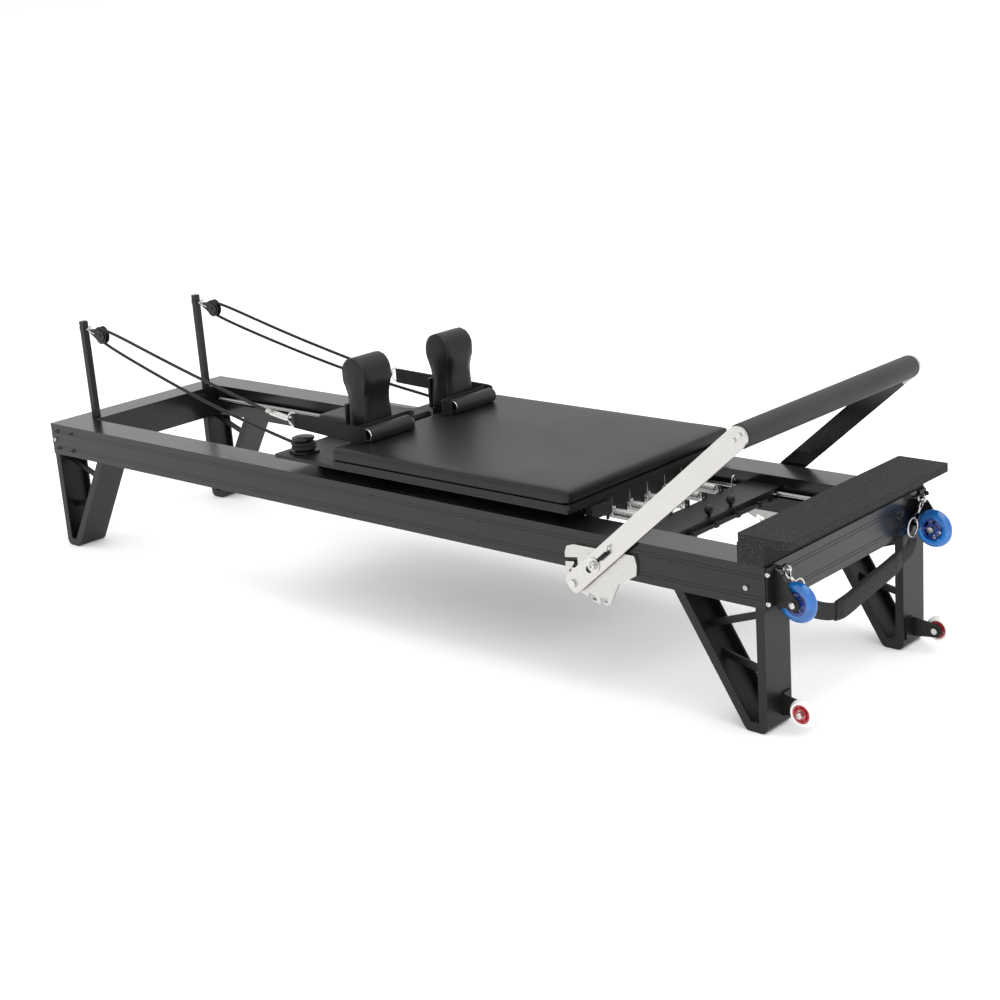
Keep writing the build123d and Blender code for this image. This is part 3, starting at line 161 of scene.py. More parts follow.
# ---- Ropes --------------------------------------------------------------------------
# Braided polyester rope, 8 mm. Each runs from a cleat on the carriage, round its sheave on
# the riser post and back to the snap link on a hand loop.
def smooth_path(name, points):
    """Points along the NURBS spline whose control points are given."""
    curve = bpy.data.curves.new(name, "CURVE")
    curve.dimensions = "3D"
    spline = curve.splines.new("NURBS")
    spline.points.add(len(points) - 1)
    for point, place in zip(spline.points, points):
        point.co = (*place, 1)
    spline.order_u = 3
    spline.use_endpoint_u = True
    spline.resolution_u = 24
    holder = bpy.data.objects.new(name, curve)
    bpy.context.collection.objects.link(holder)
    bpy.context.view_layer.update()
    line = bpy.data.meshes.new_from_object(holder.evaluated_get(bpy.context.evaluated_depsgraph_get()))
    path = [Vector(v.co) for v in line.vertices]
    bpy.data.objects.remove(holder)
    return path


def pick(*pieces):
    """Select these pieces alone, the first one active, so an operator acts on them only."""
    bpy.ops.object.select_all(action="DESELECT")
    for piece in pieces:
        piece.select_set(True)
    bpy.context.view_layer.objects.active = pieces[0]


def wire_along(name, path, radius, sides=3, closed=False):
    """A round tube along a path, as a mesh with its own UV map along and around it."""
    curve = bpy.data.curves.new(name, "CURVE")
    curve.dimensions = "3D"
    curve.bevel_depth = radius
    curve.bevel_resolution = sides
    curve.use_fill_caps = not closed
    spline = curve.splines.new("POLY")
    spline.points.add(len(path) - 1)
    for point, place in zip(spline.points, path):
        point.co = (*place, 1)
    spline.use_cyclic_u = closed
    wire = bpy.data.objects.new(name, curve)
    bpy.context.collection.objects.link(wire)
    pick(wire)
    bpy.ops.object.convert(target="MESH")
    wire = bpy.context.object
    wire.data.shade_smooth()
    return wire


def braid_material(name, dark, light, turns_along, turns_round):
    """Polyester braid: matt yarn bundles that cross on the slant, along and round the rope."""
    material, tree = new_material(name)
    place = add_node(tree, "ShaderNodeTexCoord")
    turns = (turns_along, turns_round, 1)
    scaled = add_node(tree, "ShaderNodeMapping", {"Scale": turns}, Vector=place.outputs["UV"])
    split = add_node(tree, "ShaderNodeSeparateXYZ", Vector=scaled)
    one_way = add_node(tree, "ShaderNodeMath", {"operation": "ADD"}, i0=split, i1=split.outputs[1])
    other_way = add_node(tree, "ShaderNodeMath", {"operation": "SUBTRACT"}, i0=split, i1=split.outputs[1])
    waves = []
    for direction in (one_way, other_way):
        angle = add_node(tree, "ShaderNodeMath", {"operation": "MULTIPLY", 1: 2 * pi}, i0=direction)
        waves.append(add_node(tree, "ShaderNodeMath", {"operation": "SINE"}, i0=angle))
    bundle = add_node(tree, "ShaderNodeMath", {"operation": "MULTIPLY"}, i0=waves[0], i1=waves[1])
    ramp = add_node(tree, "ShaderNodeMapRange", {"From Min": -0.6, "From Max": 0.8}, Value=bundle)
    yarn = add_node(tree, "ShaderNodeMix", {"data_type": "RGBA", 6: paint(dark), 7: paint(light)}, i0=ramp)
    lift = add_node(tree, "ShaderNodeBump", {"Strength": 0.7, "Distance": 0.0006}, Height=bundle)
    skin = add_node(
        tree, "ShaderNodeBsdfPrincipled",
        {"Roughness": 0.72, "Sheen Weight": 0.1, "Specular IOR Level": 0.25},
        Base_Color=yarn.outputs[2], Normal=lift,
    )
    add_node(tree, "ShaderNodeOutputMaterial", Surface=skin)
    return material


rope_braid = braid_material("braided_polyester_rope", "#090909", "#1d1d1e", 150, 3)
rope_diameter = 0.008
for side, side_name, loop_run, whole_length in (
    (-1, "left", ((-1.0959, 0.5715), (-1.103, 0.5954), (-1.086, 0.6136), -0.7773, -0.5671, -0.378), 1.619),
    (1, "right", ((-1.0961, 0.5715), (-1.103, 0.5959), (-1.0852, 0.6139), -0.8238, -0.646, -0.486), 1.514),
):
    under, behind, over, far_x, mid_x, snap_x = loop_run
    route = [
        (-0.2625, side * 0.246, 0.403),
        (-0.5073, side * 0.2307, 0.4364),
        (-0.7929, side * 0.2128, 0.4961),
        (under[0], side * 0.195, under[1]),
        (behind[0], side * 0.195, behind[1]),
        (over[0], side * 0.195, over[1]),
        (far_x, side * 0.2101, 0.5448),
        (mid_x, side * 0.2206, 0.5027),
        (snap_x, side * 0.230, 0.468),
    ]
    rope_path = smooth_path(f"rope_line_{side_name}", route)
    rope = wire_along(f"pull_rope_{side_name}", rope_path, rope_diameter / 2, sides=4)
    rope.data.materials.append(rope_braid)
    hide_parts(f"rope_{side_name}")
    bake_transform(rope)


# ---- Frame extrusions ---------------------------------------------------------------
# Aluminium box sections, extruded and anodised black. Their satin skin mirrors the room at
# a low angle and shows fine drawing lines along each bar.
def finish(material, *names):
    """Give carried-over solids their material."""
    for name in names:
        nodes[name].data.materials.clear()
        nodes[name].data.materials.append(material)


def satin_black(name, base, roughness, grain, depth, streak=(1, 1, 1), coat=0.0, shine=0.28):
    """A dark coated metal whose gloss varies a little, with fine surface relief."""
    material, tree = new_material(name)
    place = add_node(tree, "ShaderNodeTexCoord")
    stretched = add_node(tree, "ShaderNodeMapping", {"Scale": streak}, Vector=place.outputs["Object"])
    fine = add_node(tree, "ShaderNodeTexNoise", {"Scale": grain, "Detail": 3}, Vector=stretched)
    broad = add_node(tree, "ShaderNodeTexNoise", {"Scale": 5, "Detail": 4}, Vector=place.outputs["Object"])
    gloss = add_node(
        tree, "ShaderNodeMapRange", {"To Min": roughness - 0.05, "To Max": roughness + 0.07}, Value=broad
    )
    tone = add_node(
        tree, "ShaderNodeMix", {"data_type": "RGBA", 6: paint(base[0]), 7: paint(base[1])}, i0=fine
    )
    lift = add_node(tree, "ShaderNodeBump", {"Strength": 0.35, "Distance": depth}, Height=fine)
    skin = add_node(
        tree, "ShaderNodeBsdfPrincipled",
        {"IOR": 1.5, "Specular IOR Level": shine, "Coat Weight": coat, "Coat Roughness": 0.14},
        Base_Color=tone.outputs[2], Roughness=gloss, Normal=lift,
    )
    add_node(tree, "ShaderNodeOutputMaterial", Surface=skin)
    return material


# Drawing lines on the real bar are under 0.1 mm apart, so they are drawn 1 mm apart.
anodised_rail = satin_black(
    "black_anodised_aluminium", ("#0a0a0b", "#121213"), 0.28, 9, 0.00004, (1, 1, 110), coat=0.38, shine=0.2
)
finish(anodised_rail, "rail_left", "rail_right", "crossbar_head", "crossbar_foot", "corner_keys")

# ---- Legs, braces, posts and brackets -----------------------------------------------
# Folded steel sheet, powder coated: a fine orange-peel skin, a little warmer than the rails.
powder_coat = satin_black("black_powder_coated_steel", ("#12110f", "#1c1a18"), 0.40, 420, 0.00012, shine=0.3)
finish(
    powder_coat, "leg_head_left", "leg_head_right", "leg_foot_left", "leg_foot_right", "leg_braces",
    "riser_posts", "wheel_brackets", "spring_bar", "carriage_beams", "shoulder_bracket_left",
    "shoulder_bracket_right", "carriage_brackets",
)


# ---- Screws, bolts and bright steel -------------------------------------------------
# Button-head screws, axle bolts and shackles in polished plated steel.
def bare_metal(name, colours, roughness, streak, grain, depth, turn=(0, 0, 0)):
    """Bare metal with a directional polish: stretched scratches in colour, gloss and relief."""
    material, tree = new_material(name)
    place = add_node(tree, "ShaderNodeTexCoord")
    turned = add_node(tree, "ShaderNodeMapping", {"Rotation": turn}, Vector=place.outputs["Object"])
    stretched = add_node(tree, "ShaderNodeMapping", {"Scale": streak}, Vector=turned)
    fine = add_node(tree, "ShaderNodeTexNoise", {"Scale": grain, "Detail": 4}, Vector=stretched)
    tone = add_node(
        tree, "ShaderNodeMix", {"data_type": "RGBA", 6: paint(colours[0]), 7: paint(colours[1])}, i0=fine
    )
    gloss = add_node(
        tree, "ShaderNodeMapRange", {"To Min": roughness - 0.05, "To Max": roughness + 0.1}, Value=fine
    )
    lift = add_node(tree, "ShaderNodeBump", {"Strength": 0.25, "Distance": depth}, Height=fine)
    skin = add_node(
        tree, "ShaderNodeBsdfPrincipled", {"Metallic": 1.0},
        Base_Color=tone.outputs[2], Roughness=gloss, Normal=lift,
    )
    add_node(tree, "ShaderNodeOutputMaterial", Surface=skin)
    return material


bright_steel = bare_metal("bright_plated_steel", ("#b4b3b1", "#dbdad7"), 0.16, (1, 1, 1), 160, 0.00003)
finish(
    bright_steel, "axle_bolts", "footbar_bolts", "frame_screws", "loop_hardware", "strap_fittings",
    "roller_axles", "eye_bolts",
)

# Track rods and footbar tube: ground steel bar with lines along it.
ground_steel = bare_metal("ground_steel_bar", ("#8f8f8f", "#bcbcba"), 0.24, (1, 40, 40), 12, 0.00003)
finish(ground_steel, "track_rods", "footbar_tube")


def settle(piece, name, material, body, angle=35):
    """Name a finished piece, bring its object to the origin and let it ride on its body."""
    pick(piece)
    bpy.ops.object.transform_apply(location=True, rotation=True, scale=True)
    bpy.ops.object.shade_smooth_by_angle(angle=radians(angle))
    piece.name = name
    piece.data.name = name
    piece.data.materials.clear()
    piece.data.materials.append(material)
    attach(piece, body)


def face_outward(piece, merge=0.0):
    """Join points closer together than merge and turn every face outward."""
    pick(piece)
    bpy.ops.object.mode_set(mode="EDIT")
    bpy.ops.mesh.select_all(action="SELECT")
    if merge:
        bpy.ops.mesh.remove_doubles(threshold=merge)
    bpy.ops.mesh.normals_make_consistent(inside=False)
    bpy.ops.object.mode_set(mode="OBJECT")


def turned_piece(name, profile, centre, way, steps=48):
    """A turned shape: a profile of (radius, height) pairs spun about an axis through centre."""
    mesh = bpy.data.meshes.new(name)
    edges = [(i, i + 1) for i in range(len(profile) - 1)]
    mesh.from_pydata([(r, 0, h) for r, h in profile], edges, [])
    piece = bpy.data.objects.new(name, mesh)
    bpy.context.collection.objects.link(piece)
    pick(piece)
    bpy.ops.object.mode_set(mode="EDIT")
    bpy.ops.mesh.select_all(action="SELECT")
    bpy.ops.mesh.spin(steps=steps, angle=2 * pi, center=(0, 0, 0), axis=(0, 0, 1))
    bpy.ops.object.mode_set(mode="OBJECT")
    face_outward(piece, merge=0.00002)
    piece.rotation_mode = "QUATERNION"
    piece.rotation_quaternion = Vector(way).to_track_quat("Z", "Y")
    piece.location = centre
    return piece


# Domes, each with a round recess for its socket, sit over the plain cylinder heads of the
# frame screws and bolts. The four at each corner of the head end are blackened.
dome_profile = [
    (0.0, 0.0012), (0.0014, 0.0012), (0.0018, 0.0030), (0.0032, 0.0029), (0.0046, 0.0020), (0.0052, 0.0),
]
rail_y, bracket_y = 0.306, 0.3014
both_sides = ((-1, "left"), (1, "right"))
screws = [
    (-1.196, rail_y, 0.331, powder_coat), (-1.132, rail_y, 0.331, powder_coat),
    (-1.196, rail_y, 0.283, powder_coat), (-1.132, rail_y, 0.283, powder_coat),
    (-1.208, rail_y, 0.307, bright_steel), (1.092, rail_y, 0.303, bright_steel),
    (1.1415, bracket_y, 0.337, bright_steel), (1.1415, bracket_y, 0.277, bright_steel),
]
for number, (x, y, z, steel) in enumerate(screws):
    for side, side_name in both_sides:
        dome = turned_piece("screw", dome_profile, (x, side * y, z), (0, side, 0), steps=24)
        settle(dome, f"screw_dome_{side_name}_{number}", steel, "frame")

# ---- Footbar plates and arms --------------------------------------------------------
# Laser-cut stainless sheet, brushed along its length and left bare; the arms lean at 40.8
# degrees, so their brushing leans with them.
brushed_plate = bare_metal("brushed_stainless_plate", ("#b2b1ae", "#cfcdca"), 0.30, (3, 1, 90), 10, 0.00004)
lean = radians(40.8)
brushed_arm = bare_metal(
    "brushed_stainless_arm", ("#b9b8b5", "#d3d1ce"), 0.27, (2, 1, 90), 10, 0.00004, (0, lean, 0)
)
finish(brushed_plate, "footbar_plates")
finish(brushed_arm, "footbar_arm_left", "footbar_arm_right")

countersunk_profile = [
    (0.0, -0.0022), (0.0015, -0.0022), (0.0017, -0.0002), (0.0050, -0.0002), (0.0053, -0.0005),
    (0.0030, -0.0030), (0.0, -0.0030),
]
pivot = Vector((0.725, 0, 0.289))
for number, (x, z) in enumerate(((0.062, 0.016), (0.063, -0.010), (-0.022, 0.018))):
    for side, side_name in both_sides:
        spot = (pivot.x + x, side * 0.309, pivot.z + z)
        head = turned_piece("plate_screw", countersunk_profile, spot, (0, side, 0), steps=24)
        settle(head, f"plate_screw_{side_name}_{number}", bright_steel, "frame")

# Pivot bolt: a domed head with a round recess for its socket, over its wide washer.
pivot_profile = [
    (0.0, 0.0012), (0.0028, 0.0012), (0.0032, 0.0042), (0.0060, 0.0040), (0.0085, 0.0024), (0.0094, 0.0002),
    (0.0094, 0.0),
]
for side, side_name in both_sides:
    head = turned_piece("pivot", pivot_profile, (pivot.x, side * 0.3279, pivot.z), (0, side, 0))
    settle(head, f"pivot_dome_{side_name}", bright_steel, "frame")

# Arm springs: black-oiled music wire, close wound, from the pivot to a pin on the arm.
black_wire = satin_black("black_oiled_spring_wire", ("#141414", "#232323"), 0.32, 200, 0.00002)
arm_way = Vector((cos(lean), 0, sin(lean)))
arm_up = Vector((-sin(lean), 0, cos(lean)))
coil_turns, coil_length, coil_radius = 17, 0.0305, 0.0036
for side, side_name in both_sides:
    on_arm = pivot + Vector((0, side * 0.3277, 0))
    start = on_arm + arm_way * 0.0225
    steps = coil_turns * 14
    coil_path = []
    for i in range(steps + 1):
        turn = 2 * pi * i / 14
        out = arm_up * cos(turn) + Vector((0, 1, 0)) * sin(turn)
        coil_path.append(start + arm_way * (coil_length * i / steps) + out * coil_radius)
    hook_end = on_arm + arm_way * 0.066 + arm_up * 0.008
    coil_path += [start + arm_way * 0.0335, hook_end]
    coil = wire_along("arm_coil", coil_path, 0.00085, sides=2)
    settle(coil, f"arm_spring_{side_name}", black_wire, "footbar", angle=60)
    pin = turned_piece(
        "pin", [(0, 0.0095), (0.0014, 0.0095), (0.0021, 0.0088), (0.0021, 0.0)],
        (hook_end.x, side * 0.3217, hook_end.z), (0, side, 0), steps=20,
    )
    settle(pin, f"arm_spring_pin_{side_name}", bright_steel, "footbar")
    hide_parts("arm_springs")

# A thin dark glossy sheet on each arm's inner face, between the rail and the foam, is painted shade: it
# stands in for the dark those faces show.
painted_shade_film = satin_black("painted_shade_sheet", ("#0d0d0d", "#161616"), 0.16, 14, 0.00002, coat=0.4, shine=0.5)
for side, side_name in both_sides:
    inner_face = min(abs(corner.y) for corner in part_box(f"footbar_arm_{side_name}"))
    film_middle = pivot + arm_way * 0.26 + Vector((0, side * (inner_face - 0.0003), 0))
    bpy.ops.mesh.primitive_cube_add(size=1, location=film_middle)
    film = bpy.context.object
    film.scale = (0.38, 0.0005, 0.046)
    film.rotation_euler = (0, -lean, 0)
    settle(film, f"arm_painted_shade_{side_name}", painted_shade_film, "footbar")

# ---- Footbar foam -------------------------------------------------------------------
# A thick sleeve of closed-cell rubber foam: matt, with the fine skin of its pores.
def foam_skin(name, dark, light, roughness):
    """Closed-cell foam: matt rubber with a shallow pore pattern."""
    material, tree = new_material(name)
    place = add_node(tree, "ShaderNodeTexCoord")
    pores = add_node(tree, "ShaderNodeTexVoronoi", {"Scale": 520}, Vector=place.outputs["Object"])
    cloud = add_node(tree, "ShaderNodeTexNoise", {"Scale": 9, "Detail": 5}, Vector=place.outputs["Object"])
    tone = add_node(tree, "ShaderNodeMix", {"data_type": "RGBA", 6: paint(dark), 7: paint(light)}, i0=cloud)
    lift = add_node(tree, "ShaderNodeBump", {"Strength": 0.4, "Distance": 0.0004}, Height=pores)
    skin = add_node(
        tree, "ShaderNodeBsdfPrincipled",
        {"Roughness": roughness, "Sheen Weight": 0.06, "Sheen Roughness": 0.5, "Specular IOR Level": 0.3},
        Base_Color=tone.outputs[2], Normal=lift,
    )
    add_node(tree, "ShaderNodeOutputMaterial", Surface=skin)
    return material


foam = foam_skin("closed_cell_foam", "#262627", "#303031", 0.62)
bar_centre = pivot + arm_way * 0.488
foam_profile = [
    (0.0165, 0.0), (0.0225, 0.0), (0.0243, 0.0008), (0.0250, 0.0030), (0.0250, 0.160), (0.0250, 0.310),
    (0.0250, 0.466), (0.0250, 0.6236), (0.0243, 0.6258), (0.0225, 0.6266), (0.0165, 0.6266),
]
sleeve = turned_piece("foam", foam_profile, (bar_centre.x, -0.3133, bar_centre.z), (0, 1, 0), steps=64)
settle(sleeve, "footbar_foam_sleeve", foam, "footbar")
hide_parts("footbar_foam")


# ---- Upholstery ---------------------------------------------------------------------
# Black vinyl stretched over firm foam and stapled under its board. The foam pushes the
# vinyl out between the sewn edges, so every cushion gets a short inflation.
def vinyl(name, dark, light, roughness):
    """Upholstery vinyl: an embossed leather grain about 2 mm across, softly worn gloss."""
    material, tree = new_material(name)
    place = add_node(tree, "ShaderNodeTexCoord")
    grain = add_node(
        tree, "ShaderNodeTexVoronoi", {"Scale": 480, "feature": "SMOOTH_F1", "Smoothness": 0.6},
        Vector=place.outputs["Object"],
    )
    cloud = add_node(tree, "ShaderNodeTexNoise", {"Scale": 6, "Detail": 6}, Vector=place.outputs["Object"])
    tone = add_node(tree, "ShaderNodeMix", {"data_type": "RGBA", 6: paint(dark), 7: paint(light)}, i0=cloud)
    gloss = add_node(
        tree, "ShaderNodeMapRange", {"To Min": roughness - 0.05, "To Max": roughness + 0.06}, Value=cloud
    )
    lift = add_node(tree, "ShaderNodeBump", {"Strength": 0.22, "Distance": 0.0004}, Height=grain)
    skin = add_node(
        tree, "ShaderNodeBsdfPrincipled", {"IOR": 1.5, "Specular IOR Level": 0.3},
        Base_Color=tone.outputs[2], Roughness=gloss, Normal=lift,
    )
    add_node(tree, "ShaderNodeOutputMaterial", Surface=skin)
    return material


black_vinyl = vinyl("black_upholstery_vinyl", "#101011", "#161617", 0.40)


def upholster(node, name, body, voxel, cap, inset):
    """A cushion from a solid's shape: shrunk a little, remeshed, inflated and capped."""
    cushion = nodes[node].copy()
    cushion.data = cushion.data.copy()
    cushion.parent = None
    bpy.context.collection.objects.link(cushion)
    cushion.matrix_world = Matrix.Identity(4)
    cushion.name = name
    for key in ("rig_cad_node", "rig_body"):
        if key in cushion:
            del cushion[key]
    face_outward(cushion, merge=0.00001)
    low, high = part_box(node)
    middle = (low + high) / 2
    size = high - low
    shrink = Matrix.Diagonal([1 - 2 * inset / size.x, 1 - 2 * inset / size.y, 1 - inset / size.z, 1])
    base = Vector((middle.x, middle.y, low.z))
    cushion.data.transform(Matrix.Translation(base) @ shrink @ Matrix.Translation(-base))
    remesh = cushion.modifiers.new("even_mesh", "REMESH")
    remesh.mode = "VOXEL"
    remesh.voxel_size = voxel
    bpy.ops.object.modifier_apply(modifier=remesh.name)
    before = [v.co.copy() for v in cushion.data.vertices]
    cloth = cushion.modifiers.new("inflate", "CLOTH")
    cloth.settings.quality = 4
    cloth.settings.use_pressure = True
    cloth.settings.uniform_pressure_force = 4
    cloth.settings.effector_weights.gravity = 0
    cloth.settings.tension_stiffness = 25
    cloth.settings.compression_stiffness = 25
    cloth.settings.bending_stiffness = 2
    for step in range(1, 21):
        bpy.context.scene.frame_set(step)
    bpy.ops.object.modifier_apply(modifier=cloth.name)
    bpy.context.scene.frame_set(1)
    for vertex, rest in zip(cushion.data.vertices, before):
        shift = vertex.co - rest
        if shift.length > cap:
            vertex.co = rest + shift.normalized() * cap
    smooth = cushion.modifiers.new("even_out", "SMOOTH")
    smooth.factor = 0.5
    smooth.iterations = 3
    bpy.ops.object.modifier_apply(modifier=smooth.name)
    refine = cushion.modifiers.new("refine", "SUBSURF")
    refine.levels = 1
    refine.render_levels = 1
    bpy.ops.object.modifier_apply(modifier=refine.name)
    for vertex in cushion.data.vertices:
        vertex.co.z = max(vertex.co.z, low.z + 0.0001)
        vertex.co.z = min(vertex.co.z, high.z + 0.004)
    settle(cushion, name, black_vinyl, body, angle=80)
    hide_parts(node)
    return cushion


seam_thread, tree = new_material("sewn_vinyl_seam")
seam_place = add_node(tree, "ShaderNodeTexCoord")
seam_noise = add_node(tree, "ShaderNodeTexNoise", {"Scale": 300}, Vector=seam_place.outputs["Object"])
seam_tone = add_node(
    tree, "ShaderNodeMix", {"data_type": "RGBA", 6: paint("#101010"), 7: paint("#1c1c1c")}, i0=seam_noise
)
seam_skin = add_node(tree, "ShaderNodeBsdfPrincipled", {"Roughness": 0.55}, Base_Color=seam_tone.outputs[2])
add_node(tree, "ShaderNodeOutputMaterial", Surface=seam_skin)


def seam_over(cushion, name, path, body, radius=0.0008, sink=0.0002, closed=True):
    """A sewn seam laid on a cushion's own surface along a path."""
    laid = []
    for spot in path:
        found, place, normal, _ = cushion.closest_point_on_mesh(spot)
        laid.append(place - normal * sink if found else Vector(spot))
    seam = wire_along(name, laid, radius, sides=2, closed=closed)
    settle(seam, name, seam_thread, body, angle=80)


def rounded_loop(low, high, corner, z, steps=8, spacing=0.02):
    """Points round a rectangle with rounded corners at one height."""
    loop = []
    for cx, cy, begin in (
        (high.x - corner, high.y - corner, 0), (low.x + corner, high.y - corner, 90),
        (low.x + corner, low.y + corner, 180), (high.x - corner, low.y + corner, 270),
    ):
        for i in range(steps + 1):
            turn = radians(begin + 90 * i / steps)
            loop.append(Vector((cx + corner * cos(turn), cy + corner * sin(turn), z)))
    dense = []
    for here, after in zip(loop, loop[1:] + loop[:1]):
        count = max(1, round((after - here).length / spacing))
        dense += [here.lerp(after, i / count) for i in range(count)]
    return dense


# Carriage pad: one thick cushion with its cover sewn round the top edge, on a black board.
seam_drop = 0.0045
pad = upholster("carriage_pad", "carriage_cushion", "carriage", 0.0065, 0.0016, 0.0015)
low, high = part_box("carriage_pad")
seam_over(pad, "carriage_cushion_seam", rounded_loop(low, high, 0.013, high.z - seam_drop), "carriage")

# Headrest: a smaller cushion of the same make between the shoulder rests.
headrest = upholster("headrest_pad", "headrest_cushion", "headrest", 0.0045, 0.003, 0.002)
low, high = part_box("headrest_pad")
seam_over(headrest, "headrest_cushion_seam", rounded_loop(low, high, 0.014, high.z - seam_drop), "headrest")

# Shoulder rests: a wrap of vinyl round the front, top and back, sewn to two side panels.
rest_x = -0.099
half_outline = [
    (0.0, 0.6215), (0.0200, 0.6200), (0.0380, 0.6020), (0.0435, 0.5750), (0.0375, 0.5450),
    (0.0310, 0.5150), (0.0300, 0.4820), (0.0300, 0.4550), (0.0310, 0.4290),
]
for side, side_name in both_sides:
    body = f"shoulder_{side_name}"
    node, name = f"shoulder_rest_{side_name}", f"shoulder_cushion_{side_name}"
    rest = upholster(node, name, body, 0.0045, 0.004, 0.003)
    outline = [(rest_x - x, z) for x, z in half_outline[:0:-1]] + [(rest_x + x, z) for x, z in half_outline]
    for edge_name, edge_y in (("inner", side * 0.094), ("outer", side * 0.190)):
        edge = smooth_path("rest_edge", [(x, edge_y, z) for x, z in outline])
        edge = edge[::6] + edge[-1:]
        name = f"shoulder_seam_{side_name}_{edge_name}"
        seam_over(rest, name, edge, body, radius=0.0009, sink=0.0001, closed=False)

# Boards under the cushions: plywood, sealed and painted black, with a faint grain.
board, tree = new_material("black_stained_plywood")
place = add_node(tree, "ShaderNodeTexCoord")
along_grain = add_node(tree, "ShaderNodeMapping", {"Scale": (2, 60, 60)}, Vector=place.outputs["Object"])
ply = add_node(tree, "ShaderNodeTexNoise", {"Scale": 8, "Detail": 6}, Vector=along_grain)
tone = add_node(
    tree, "ShaderNodeMix", {"data_type": "RGBA", 6: paint("#101010"), 7: paint("#1a1a1a")}, i0=ply
)
lift = add_node(tree, "ShaderNodeBump", {"Strength": 0.3, "Distance": 0.0002}, Height=ply)
skin = add_node(
    tree, "ShaderNodeBsdfPrincipled", {"Roughness": 0.45, "Specular IOR Level": 0.3},
    Base_Color=tone.outputs[2], Normal=lift,
)
add_node(tree, "ShaderNodeOutputMaterial", Surface=skin)
finish(board, "carriage_plate", "pad_board", "headrest_board")

# ---- Standing platform --------------------------------------------------------------
# A board with a bonded non-slip sheet: mineral grit in black rubber, lighter flecks in it.
grit_rubber, tree = new_material("non_slip_grit_rubber")
place = add_node(tree, "ShaderNodeTexCoord")
grit = add_node(tree, "ShaderNodeTexNoise", {"Scale": 620, "Detail": 2}, Vector=place.outputs["Object"])
fleck = add_node(tree, "ShaderNodeTexVoronoi", {"Scale": 330}, Vector=place.outputs["Object"])
chosen = add_node(
    tree, "ShaderNodeMapRange",
    {"From Min": 0.26, "From Max": 0.14, "To Min": 0.0, "To Max": 0.5}, Value=fleck,
)
ground = add_node(
    tree, "ShaderNodeMix", {"data_type": "RGBA", 6: paint("#131314"), 7: paint("#2e2e30")}, i0=grit
)
flecked = add_node(
    tree, "ShaderNodeMix", {"data_type": "RGBA", 7: paint("#828284")}, i0=chosen, i6=ground.outputs[2]
)
lift = add_node(tree, "ShaderNodeBump", {"Strength": 0.8, "Distance": 0.0007}, Height=grit)
skin = add_node(
    tree, "ShaderNodeBsdfPrincipled", {"Roughness": 0.85, "Specular IOR Level": 0.3},
    Base_Color=flecked.outputs[2], Normal=lift,
)
add_node(tree, "ShaderNodeOutputMaterial", Surface=skin)
finish(grit_rubber, "standing_platform")

# ---- Wheels -------------------------------------------------------------------------
# Transport wheels: clear blue polyurethane cast round a dark spoked core with a bearing.
# Glide wheels: white polyurethane on a red core.
def cast_urethane(name, colour, see_through, roughness):
    """Cast polyurethane: glossy, tinted right through, with faint cloudiness inside."""
    material, tree = new_material(name)
    place = add_node(tree, "ShaderNodeTexCoord")
    cloud = add_node(tree, "ShaderNodeTexNoise", {"Scale": 60, "Detail": 4}, Vector=place.outputs["Object"])
    tone = add_node(
        tree, "ShaderNodeMix", {"data_type": "RGBA", 6: paint(colour[0]), 7: paint(colour[1])}, i0=cloud
    )
    lift = add_node(tree, "ShaderNodeBump", {"Strength": 0.08, "Distance": 0.0003}, Height=cloud)
    skin = add_node(
        tree, "ShaderNodeBsdfPrincipled",
        {"Roughness": roughness, "Transmission Weight": see_through, "IOR": 1.5, "Coat Weight": 0.5},
        Base_Color=tone.outputs[2], Normal=lift,
    )
    add_node(tree, "ShaderNodeOutputMaterial", Surface=skin)
    return material


blue_urethane = cast_urethane("clear_blue_urethane", ("#1066bd", "#2a92e6"), 0.5, 0.07)
white_urethane = cast_urethane("white_urethane", ("#f2efea", "#fdfbf8"), 0.0, 0.3)
red_core = cast_urethane("red_nylon_core", ("#a31421", "#c0202e"), 0.0, 0.35)
blue_core = cast_urethane("dark_blue_nylon_core", ("#0d2c78", "#15409c"), 0.0, 0.3)


